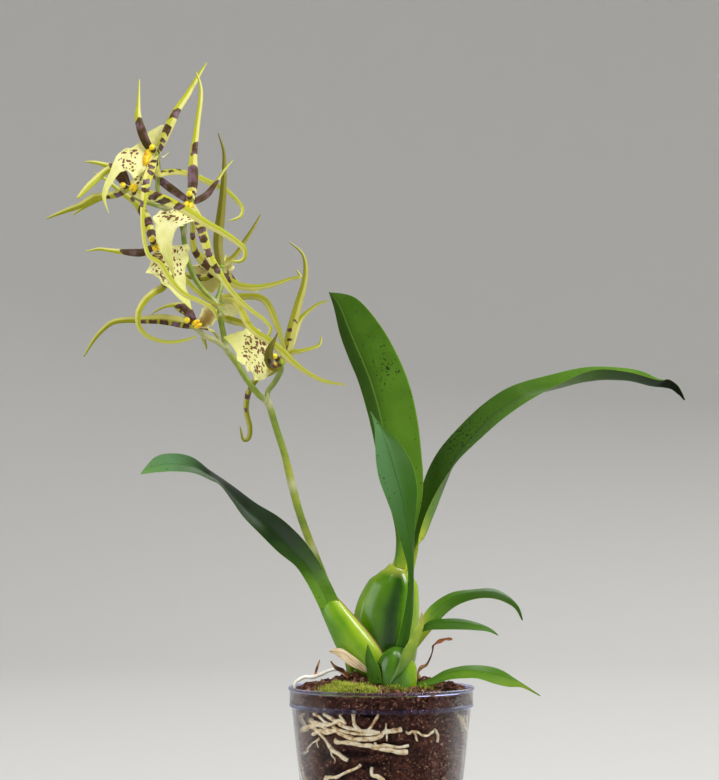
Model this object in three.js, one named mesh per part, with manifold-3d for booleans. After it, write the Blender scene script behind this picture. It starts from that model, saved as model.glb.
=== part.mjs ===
// A brassia (spider orchid) in flower, growing in its clear plastic pot.
// Millimetres, +Z up, origin at the centre of the pot's base.
// Points are [x, y, z]; a fourth number is the width or radius there.
import * as THREE from 'three';
import { mergeVertices } from 'three/addons/utils/BufferGeometryUtils.js';
import Module from 'manifold-3d';

const wasm = await Module();
wasm.setup();

// ---- driving dimensions ----------------------------------------------------
const CLEARANCE = 0.3; // gap between neighbours that touch
const LEAST_LIFT = 0.35; // half the gap cut round what passes through a solid

const POT_WALL = 1.2;
const POT_BASE_RADIUS = 46.9;
const POT_SHOULDER_RADIUS = 57.6;
const POT_SHOULDER_HEIGHT = 93.5;
const POT_LEDGE_RADIUS = 59.4;
const POT_COLLAR_RADIUS = 58.9;
const POT_RIM_RADIUS = 60;
const POT_HEIGHT = 107;
const POT_SIDES = 36;
const DRAIN_HOLES = 6;
const DRAIN_RADIUS = 4;
const DRAIN_RING = 28;

const SOIL_EDGE_HEIGHT = 103.5;
const SOIL_CROWN_HEIGHT = 111.5;
const LUMP_HEIGHT = 1.4;
const LUMP_REACH = 52; // the mix is smooth from this radius out
const MOSS_HALF_SIZE = [17, 9.5, 4.5];
const MOSS_CENTRE = [-21, -41.5, 108];
const MOSS_TURN = -0.2;

const ROOT_SIDES = 5;
const ROOT_STEPS = 7;
const RHIZOME_HEIGHT = 101;

const LEAF_THICKNESS = 1.1;
const SHEATH_THICKNESS = 0.9;
const TEPAL_THICKNESS = 1.1;
const LEAST_TEPAL_WIDTH = 0.8;
const TEPAL_FOLD = 0.12; // folds and ruffles are shares of a blade's width
const LIP_THICKNESS = 0.9;
const LIP_FOLD = 0.06;
const LIP_RUFFLE = 0.035;
const LIP_WAVES = 3;
const RUFFLE_SHIFT = 1.3; // how far the right margin's waves are ahead, in radians
const HUB_RADIUS = 2.7;
const COLUMN_RADIUS = 1.7;
const COLUMN_SIDES = 6;
const COLUMN_STEPS = 3;

const FRONT = new THREE.Vector3(0, -1, 0);

// ---- colours ---------------------------------------------------------------
const COLOURS = {
  clearPlastic: { color: 0xc3c7d6, roughness: 0.12, metalness: 0 },
  bark: { color: 0x4a2a18, roughness: 0.95, metalness: 0 },
  moss: { color: 0x7b7d25, roughness: 0.95, metalness: 0 },
  root: { color: 0xb49a72, roughness: 0.7, metalness: 0 },
  paleRoot: { color: 0xe4e0cf, roughness: 0.7, metalness: 0 },
  dryRoot: { color: 0x7c4a20, roughness: 0.85, metalness: 0 },
  dryBract: { color: 0xc79a78, roughness: 0.8, metalness: 0 },
  bulb: { color: 0x55802a, roughness: 0.35, metalness: 0 },
  leaf: { color: 0x2f5a1c, roughness: 0.4, metalness: 0 },
  sheath: { color: 0x86a83c, roughness: 0.45, metalness: 0 },
  spike: { color: 0x6f9a3c, roughness: 0.45, metalness: 0 },
  tepal: { color: 0xaab832, roughness: 0.45, metalness: 0 },
  lip: { color: 0xece9ac, roughness: 0.5, metalness: 0 },
};

// ---- solids ----------------------------------------------------------------

// Uniform Catmull-Rom spline through rows of numbers of any length.
function spline(rows, steps) {
  const last = rows.length - 1;
  return Array.from({ length: steps + 1 }, (_, i) => {
    const place = (i / steps) * last;
    const k = Math.min(Math.floor(place), last - 1);
    const t = place - k;
    const [a, b, c, d] = [k - 1, k, k + 1, k + 2].map((n) => rows[Math.min(Math.max(n, 0), last)]);
    return b.map((_, m) => 0.5 * (2 * b[m] + (c[m] - a[m]) * t
      + (2 * a[m] - 5 * b[m] + 4 * c[m] - d[m]) * t * t
      + (3 * b[m] - 3 * c[m] + d[m] - a[m]) * t * t * t));
  });
}

const vector = (row) => new THREE.Vector3(row[0], row[1], row[2]);

// Unit tangents of a polyline of vectors.
function tangents(points) {
  const last = points.length - 1;
  return points.map((_, i) => points[Math.min(i + 1, last)].clone()
    .sub(points[Math.max(i - 1, 0)]).normalize());
}

// Closed mesh over a row of rings with equal counts. From `turn` on round the
// ring the quads are split the other way, so a blade's two faces match.
function loft(rings, turn = Infinity) {
  const count = rings[0].length;
  const position = rings.flat().flatMap((p) => [p.x, p.y, p.z]);
  const index = [];
  for (let i = 0; i + 1 < rings.length; i += 1) {
    for (let k = 0; k < count; k += 1) {
      const a = i * count + k;
      const b = i * count + ((k + 1) % count);
      const [c, d] = [b + count, a + count];
      index.push(...(k < turn ? [a, b, c, a, c, d] : [a, b, d, b, c, d]));
    }
  }
  [0, rings.length - 1].forEach((i) => {
    const middle = rings[i].reduce((sum, p) => sum.add(p), new THREE.Vector3()).divideScalar(count);
    const centre = position.length / 3;
    position.push(middle.x, middle.y, middle.z);
    for (let k = 0; k < count; k += 1) {
      const [a, b] = [i * count + k, i * count + ((k + 1) % count)];
      index.push(...(i === 0 ? [centre, b, a] : [centre, a, b]));
    }
  });
  const geometry = new THREE.BufferGeometry();
  geometry.setAttribute('position', new THREE.Float32BufferAttribute(position, 3));
  geometry.setIndex(index);
  return solid(geometry);
}

// Manifold solid of a closed geometry, turned so that its faces point out.
function solid(source) {
  const bare = source.clone();
  bare.deleteAttribute('normal');
  bare.deleteAttribute('uv');
  const geometry = mergeVertices(bare, 1e-4);
  const vertProperties = new Float32Array(geometry.attributes.position.array);
  const triVerts = new Uint32Array(geometry.index.array);
  const corner = (n) => new THREE.Vector3().fromArray(vertProperties, triVerts[n] * 3);
  let volume = 0;
  for (let n = 0; n < triVerts.length; n += 3) {
    volume += corner(n).dot(corner(n + 1).cross(corner(n + 2)));
  }
  if (volume < 0) {
    for (let n = 0; n < triVerts.length; n += 3) {
      [triVerts[n], triVerts[n + 1]] = [triVerts[n + 1], triVerts[n]];
    }
  }
  return new wasm.Manifold(new wasm.Mesh({ numProp: 3, vertProperties, triVerts }));
}

// The largest separate piece of a solid: loose scraps of a cut are dropped.
function largest(shape) {
  return shape.decompose().sort((a, b) => b.volume() - a.volume())[0];
}

// Round or oval stem along [x, y, z, radius, otherRadius] points.
function stem(points, sides, steps, grow = 0) {
  const rows = spline(points, steps);
  const centres = rows.map(vector);
  const ahead = tangents(centres);
  let side = ahead[0].clone().cross(FRONT).normalize();
  const rings = rows.map((row, i) => {
    side = side.clone().addScaledVector(ahead[i], -side.dot(ahead[i])).normalize();
    const up = side.clone().cross(ahead[i]);
    const across = row[3] + grow;
    const deep = (row[4] ?? row[3]) + grow;
    return Array.from({ length: sides }, (_, k) => {
      const angle = (k / sides) * 2 * Math.PI;
      return centres[i].clone().addScaledVector(side, across * Math.cos(angle))
        .addScaledVector(up, deep * Math.sin(angle));
    });
  });
  const push = (ring, way) => ring.map((p) => p.clone().addScaledVector(way, grow));
  rings[0] = push(rings[0], ahead[0].clone().negate());
  rings[steps] = push(rings[steps], ahead[steps]);
  return loft(rings);
}

// Lens-sectioned blade between two margins that run from its base to its tip.
// `fold` sinks the midrib and `ruffle` waves the margins, both in widths.
function blade(left, right, { across, steps, thickness, fold = 0, ruffle = 0, waves = 0 }) {
  const [port, starboard] = [left, right].map((rows) => spline(rows, steps).map(vector));
  const ahead = tangents(port.map((p, i) => p.clone().lerp(starboard[i], 0.5)));
  const rings = port.map((p, i) => {
    const span = starboard[i].clone().sub(p);
    const width = span.length();
    const normal = ahead[i].clone().cross(span).normalize();
    const point = (j, face) => {
      const s = j / across;
      const fromMidrib = Math.abs(2 * s - 1);
      const wave = Math.sin(waves * Math.PI * 2 * (i / steps) + (s > 0.5 ? RUFFLE_SHIFT : 0));
      const lift = -fold * width * (1 - fromMidrib) + ruffle * width * wave * fromMidrib ** 2;
      const skin = face * thickness * 0.5 * Math.sin(Math.PI * s) ** 0.5;
      return p.clone().addScaledVector(span, s).addScaledVector(normal, lift + skin);
    };
    const top = Array.from({ length: across + 1 }, (_, j) => point(j, 1));
    const under = Array.from({ length: across - 1 }, (_, j) => point(across - 1 - j, -1));
    return [...top, ...under];
  });
  return loft(rings, across);
}

// Narrow blade along [x, y, z, width] points, its face to the front.
function ribbon(points, { steps, thickness, fold, grow = 0 }) {
  const rows = spline(points, steps);
  const centres = rows.map(vector);
  const sides = tangents(centres).map((t) => t.clone().cross(FRONT).normalize());
  const margin = (way) => centres.map((p, i) => p.clone()
    .addScaledVector(sides[i], way * (Math.max(rows[i][3], LEAST_TEPAL_WIDTH) / 2 + grow)).toArray());
  return blade(margin(-1), margin(1), { across: 2, steps, thickness: thickness + 2 * grow, fold });
}

const ball = (centre, radius) => solid(
  new THREE.IcosahedronGeometry(radius).translate(...centre));

const plant = new THREE.Group();

// Adds a solid to the plant as one named mesh.
function piece(name, colour, shape) {
  const { vertProperties, triVerts } = shape.getMesh();
  const geometry = new THREE.BufferGeometry();
  geometry.setAttribute('position', new THREE.BufferAttribute(vertProperties, 3));
  geometry.setIndex(new THREE.BufferAttribute(triVerts, 1));
  geometry.computeVertexNormals();
  const mesh = new THREE.Mesh(geometry, new THREE.MeshStandardMaterial(COLOURS[colour]));
  mesh.name = name;
  plant.add(mesh);
}

// ---- pot -------------------------------------------------------------------

const outerRadius = (z) => POT_BASE_RADIUS
  + (POT_SHOULDER_RADIUS - POT_BASE_RADIUS) * (z / POT_SHOULDER_HEIGHT);
const innerRadius = (z) => (z < POT_SHOULDER_HEIGHT
  ? outerRadius(z) - POT_WALL
  : POT_COLLAR_RADIUS - POT_WALL);

// Solid of revolution of [radius, height] points that start and end on the axis.
function turned(profile, sides) {
  const lathe = new THREE.LatheGeometry(profile.map(([r, z]) => new THREE.Vector2(r, z)), sides);
  return solid(lathe.rotateX(Math.PI / 2));
}

// Thin tapered wall, a ledge under an upright collar, and a small rolled rim.
function pot() {
  const shell = turned([
    [0, 0], [POT_BASE_RADIUS - 1, 0], [POT_BASE_RADIUS, 1],
    [POT_SHOULDER_RADIUS, POT_SHOULDER_HEIGHT],
    [POT_LEDGE_RADIUS, POT_SHOULDER_HEIGHT + 1.1],
    [POT_LEDGE_RADIUS, POT_SHOULDER_HEIGHT + 2.7],
    [POT_COLLAR_RADIUS, POT_SHOULDER_HEIGHT + 3.4],
    [POT_COLLAR_RADIUS, POT_HEIGHT - 1.8],
    [POT_RIM_RADIUS, POT_HEIGHT - 1.3], [POT_RIM_RADIUS, POT_HEIGHT - 0.4],
    [POT_RIM_RADIUS - 0.5, POT_HEIGHT],
    [POT_COLLAR_RADIUS - POT_WALL + 0.4, POT_HEIGHT],
    [POT_COLLAR_RADIUS - POT_WALL, POT_HEIGHT - 0.5],
    [POT_COLLAR_RADIUS - POT_WALL, POT_SHOULDER_HEIGHT + 2],
    [innerRadius(POT_SHOULDER_HEIGHT - 0.4), POT_SHOULDER_HEIGHT - 0.4],
    [innerRadius(POT_WALL), POT_WALL], [0, POT_WALL],
  ], POT_SIDES);
  return Array.from({ length: DRAIN_HOLES }, (_, k) => {
    const angle = (k / DRAIN_HOLES) * 2 * Math.PI;
    const drill = new THREE.CylinderGeometry(DRAIN_RADIUS, DRAIN_RADIUS, 4 * POT_WALL, 12);
    drill.rotateX(Math.PI / 2);
    drill.translate(DRAIN_RING * Math.cos(angle), DRAIN_RING * Math.sin(angle), 0);
    return solid(drill);
  }).reduce((shape, drill) => shape.subtract(drill), shell);
}

// ---- roots and rhizome -----------------------------------------------------

// Each root's radius, and its [degrees round the pot from the front, height]
// points along the wall.
const WALL_ROOTS = [
  [2.1, [[-35, 85], [-19, 79], [-2, 80], [13, 85]]],
  [1.9, [[-52, 82], [-40, 87], [-27, 87], [-14, 82]]],
  [2.1, [[-34, 77], [-18, 75], [-4, 73], [5, 72], [17, 71]]],
  [1.8, [[-55, 82], [-45, 78], [-37, 70], [-25, 65]]],
  [1.6, [[-54, 62], [-46, 53], [-31, 56], [-15, 63]]],
  [1.4, [[17, 83], [31, 80], [38, 82], [41, 76]]],
  [2.1, [[76, 88], [92, 64], [112, 44], [140, 28]]],
  [2.1, [[128, 90], [152, 66], [182, 52], [206, 24]]],
  [2.1, [[-112, 88], [-132, 62], [-158, 50], [-176, 74]]],
];

// A root runs from the rhizome out to the wall and then along it.
function wallRoot([radius, route], grow) {
  const [degrees, z] = route[0];
  const rows = spline([
    [degrees, RHIZOME_HEIGHT, 0], [degrees, 0.3 * RHIZOME_HEIGHT + 0.7 * z, 0.7],
    ...route.map(([angle, height]) => [angle, height, 1])], ROOT_STEPS);
  return stem(rows.map(([angle, height, reach]) => {
    const turn = THREE.MathUtils.degToRad(angle);
    const r = Math.min(reach, 1) * (innerRadius(height) - 2 * CLEARANCE - radius);
    return [r * Math.sin(turn), -r * Math.cos(turn), height, radius];
  }), ROOT_SIDES, ROOT_STEPS, grow);
}

// The creeping rhizome that carries the bulbs, with its roots grown from it.
function roots(grow = 0) {
  const rhizome = stem([
    [5, 10, RHIZOME_HEIGHT, 4.6], [4, 0, RHIZOME_HEIGHT, 4.9],
    [7, -14, RHIZOME_HEIGHT, 4.9], [10, -34, RHIZOME_HEIGHT, 4.6]], 8, 6, grow);
  const branch = stem([
    [5, -4, RHIZOME_HEIGHT, 4.6], [0, -9, RHIZOME_HEIGHT, 4.7],
    [-6, -16, RHIZOME_HEIGHT, 4.4]], 8, 3, grow);
  return WALL_ROOTS.reduce((shape, root) => shape.add(wallRoot(root, grow)), rhizome.add(branch));
}

// ---- bulbs and shoots: [x, y, z, half width, half depth] -------------------

const BACK_BULB = [
  [4.5, 5, 106.4, 12, 9], [4.5, 5, 113, 17, 12], [4.5, 5, 124, 20, 14], [4.5, 5, 138, 20.8, 14.5],
  [4.7, 5, 151, 20.4, 14], [5, 5, 162, 19.5, 13], [6, 5, 171, 16.5, 11], [8, 5, 178, 12, 8],
  [10.5, 5, 182, 5.5, 4.5]];
const LEFT_BULB = [
  [-4, -13, 106.4, 3.6, 3.4], [-5, -15, 113, 4.8, 4.4], [-8, -17, 122, 6.6, 5.2],
  [-13, -16, 130.5, 8, 5.8], [-18, -15, 139, 8.6, 6], [-23, -14, 147, 8.4, 5.8],
  [-28.5, -12.5, 154.5, 7, 5], [-32.6, -11, 160, 5.5, 3.6]];
const FRONT_SHOOT = [
  [9.5, -30, 106.4, 12, 8.5], [9.5, -30, 112, 12.4, 8.6], [10, -29, 120, 11.6, 8.2],
  [11, -28, 127, 10.4, 7.6], [12.5, -27, 132, 7, 5.4], [13.5, -25.5, 135.4, 4.4, 2.6]];

const backBulb = (grow = 0) => stem(BACK_BULB, 16, 12, grow);
const leftBulb = (grow = 0) => stem(LEFT_BULB, 12, 10, grow);
const frontShoot = (grow = 0) => stem(FRONT_SHOOT, 14, 8, grow);

// ---- leaves: margins from base to tip --------------------------------------

const LEAVES = {
  leaf_back: {
    left: [[6.5, 4, 185.6], [5, 7, 201], [2.5, 10, 223.5], [-1, 13, 246.5], [-5, 16, 268],
      [-9.5, 19, 287], [-15, 22, 305.5], [-21.5, 24, 321.5], [-27, 26, 337], [-31, 27.5, 354.5],
      [-34.5, 29, 365.5]],
    right: [[10, 3, 184.6], [15.5, 4, 197.5], [24, 5, 213.5], [27, 6, 233], [26.5, 7, 256],
      [24, 8.5, 279], [19, 10, 302.5], [10, 13, 324], [-2.5, 17, 344.5], [-14.5, 22, 360],
      [-34, 29, 366]],
    fold: 0.1,
  },
  leaf_right: {
    left: [[11.5, 10.4, 181.4], [16.5, 13, 193], [21, 15, 204], [23.5, 18, 223.5], [29, 21, 241.5],
      [37.5, 22, 258.5], [51, 23, 274.5], [68.5, 24, 291], [87, 24, 302.5], [112, 23, 310],
      [137, 21, 315], [161, 18, 314], [183.5, 13, 307], [198, 4, 292.5]],
    right: [[16, 6.7, 180.9], [23, 5, 192.5], [28, 3, 203.5], [34, -1, 219.5], [41.5, -7, 236],
      [50.5, -12, 251.5], [63.5, -14, 265.5], [79, -13, 279], [97, -12, 291.5], [116.5, -10, 299],
      [140, -8, 303], [162.5, -6, 303.5], [181.5, -3, 300.5], [198, 3, 291.5]],
    fold: 0.08,
  },
  leaf_front: {
    left: [[9.8, -25.5, 136.4], [13, -26, 149], [16, -26, 166], [16.5, -26, 182], [13.5, -26, 194.5],
      [8, -25, 213.5], [3, -24, 227], [-1.5, -22, 239.5], [-3.5, -20, 251.5], [-4, -18, 263.5],
      [-4.5, -16, 273.5], [-7, -13, 283]],
    right: [[17.2, -24, 136.4], [19.5, -22, 151.5], [20.5, -20, 169], [20.5, -19, 187],
      [21, -18, 201], [22, -17, 216.5], [23, -17, 232.5], [21, -16, 245.5], [17, -15, 255],
      [10, -14, 265], [1.5, -13, 273], [-7, -12.5, 283]],
    fold: 0.16,
  },
  leaf_left: {
    left: [[-29.4, -9, 162.2], [-33.5, -7, 174], [-40.5, -6, 187.5], [-51, -5, 202], [-65, -5, 215],
      [-80.5, -7, 224.5], [-92.5, -12, 233.5], [-101.5, -20, 240], [-109.5, -28, 245.5],
      [-119.5, -30, 253], [-131, -33, 255.5], [-142.5, -38, 253], [-151, -44, 242.5]],
    right: [[-36.6, -13, 161], [-45.5, -16, 170.5], [-53.5, -20, 183], [-65.5, -24, 193],
      [-77.5, -28, 205], [-87.5, -31, 215.5], [-94.5, -33, 225.5], [-101.5, -35, 235],
      [-108, -38, 238.5], [-117.5, -44, 242.5], [-129, -48, 243.5], [-140, -47, 243],
      [-151, -44, 242]],
    fold: 0.1,
  },
  leaf_young_upper: {
    left: [[18.9, -25.5, 136.2], [23.5, -24, 148], [29, -23, 157], [36.5, -22, 163.5], [46, -20, 168],
      [58, -19, 169.5], [70.5, -19, 170], [79.5, -22, 166], [86.5, -25, 159], [89, -28, 150.5]],
    right: [[19.9, -27, 129.6], [26.5, -27, 138], [33, -28, 146], [40.5, -30, 154.5],
      [49, -32, 160.5], [60, -33, 164], [70.5, -33, 164], [79, -32, 161], [84.5, -30, 157],
      [88.5, -28, 150]],
    fold: 0.08,
  },
  leaf_young_middle: {
    left: [[19.5, -33.5, 137.5], [24.5, -31, 145.5], [31, -31, 150.5], [39, -31, 151.5],
      [49, -31, 151.5], [58.5, -31, 149.5], [67.5, -33, 146], [73, -35, 141.5]],
    right: [[18.5, -34.5, 134.5], [23.5, -33, 142], [30, -36, 144.5], [39, -38, 145],
      [49, -39, 145], [59, -38, 144.5], [67, -36, 143.5], [73, -35, 141]],
    fold: 0.08,
  },
  leaf_young_lower: {
    left: [[22.6, -30, 111.5], [31, -31, 114.5], [39, -31, 119], [48, -31, 121.5], [57, -32, 122.5],
      [67, -34, 122], [75.5, -38, 119.5], [83.5, -42, 114.5], [98, -48, 105]],
    right: [[22.8, -32, 108.5], [33, -36, 111], [42, -40, 114], [50.5, -43, 115],
      [59.5, -45, 115], [69.5, -46, 112], [78.5, -46, 110], [87, -46, 109.5], [97.5, -48, 104.5]],
    fold: 0.06,
  },
};

const SHEATHS = {
  sheath_front: {
    colour: 'sheath',
    left: [[14, -36.6, 125], [14, -35.8, 135], [17.5, -35, 142], [21.5, -35, 148.5],
      [25, -34.5, 154.5]],
    right: [[19.5, -34.2, 125.5], [22, -34, 134], [24.5, -35, 141.5], [26.5, -35.5, 149],
      [25.5, -34.5, 154.5]],
  },
  sheath_left: {
    colour: 'leaf',
    left: [[-8.5, -28, 111.2], [-9.5, -28.5, 118], [-9.5, -28.5, 126.5], [-9, -28, 136]],
    right: [[-3.6, -33.5, 111.1], [-3.2, -34, 117], [-4.5, -33, 125.5], [-8.5, -28, 136]],
  },
  bract_dry: {
    colour: 'dryBract',
    left: [[-10, -22.7, 121.5], [-15.5, -25, 126.5], [-22, -26, 131], [-28, -25, 132],
      [-33, -26, 130]],
    right: [[-10, -22.3, 116.5], [-18.5, -28, 120], [-25, -29.5, 125], [-30, -28, 128.5],
      [-33, -26, 129]],
  },
};

const leafOptions = { across: 4, thickness: LEAF_THICKNESS };
const sheathOptions = { across: 4, steps: 6, thickness: SHEATH_THICKNESS, fold: 0.12 };

// ---- flower spike ----------------------------------------------------------

const RACHIS = [
  [-18.5, 15, 104, 2.8], [-20.5, 15, 120, 2.8], [-24, 15, 136, 2.8], [-30.5, 14, 159, 2.7],
  [-39.5, 12, 182, 2.6], [-52, 9, 215, 2.5], [-58, 7, 236.5, 2.6], [-63, 5, 257, 2.3],
  [-68.5, 4, 274, 2.2], [-73.5, 2, 289.5, 2.3], [-80, 1, 295.5, 2.1], [-87, 1, 304.5, 2],
  [-94, 1, 315.5, 1.9], [-100.5, 0, 325, 2.2], [-102.5, 0, 334, 1.9], [-104.5, 0, 343.5, 1.9],
  [-107.5, 0, 354, 2.1], [-115, 0, 362, 1.8], [-122, 0, 372, 1.8], [-126.5, 0, 384, 1.9],
  [-128.5, 0, 394.5, 1.7], [-129.5, -1, 403.5, 1.8], [-133, -3, 410.5, 1.6],
  [-139.5, -5, 416, 1.7]];
const RACHIS_SIDES = 6;
const RACHIS_STEPS = 27;
const PEDICEL_SIDES = 5;

// ---- flowers ---------------------------------------------------------------
// hub: where tepals and lip meet; cap: the anther at the column's end.
// pedicel: [x, y, z, radius] from the rachis; tepals: [x, y, z, width].
// lip: its two margins from the column to the tip.

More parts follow.
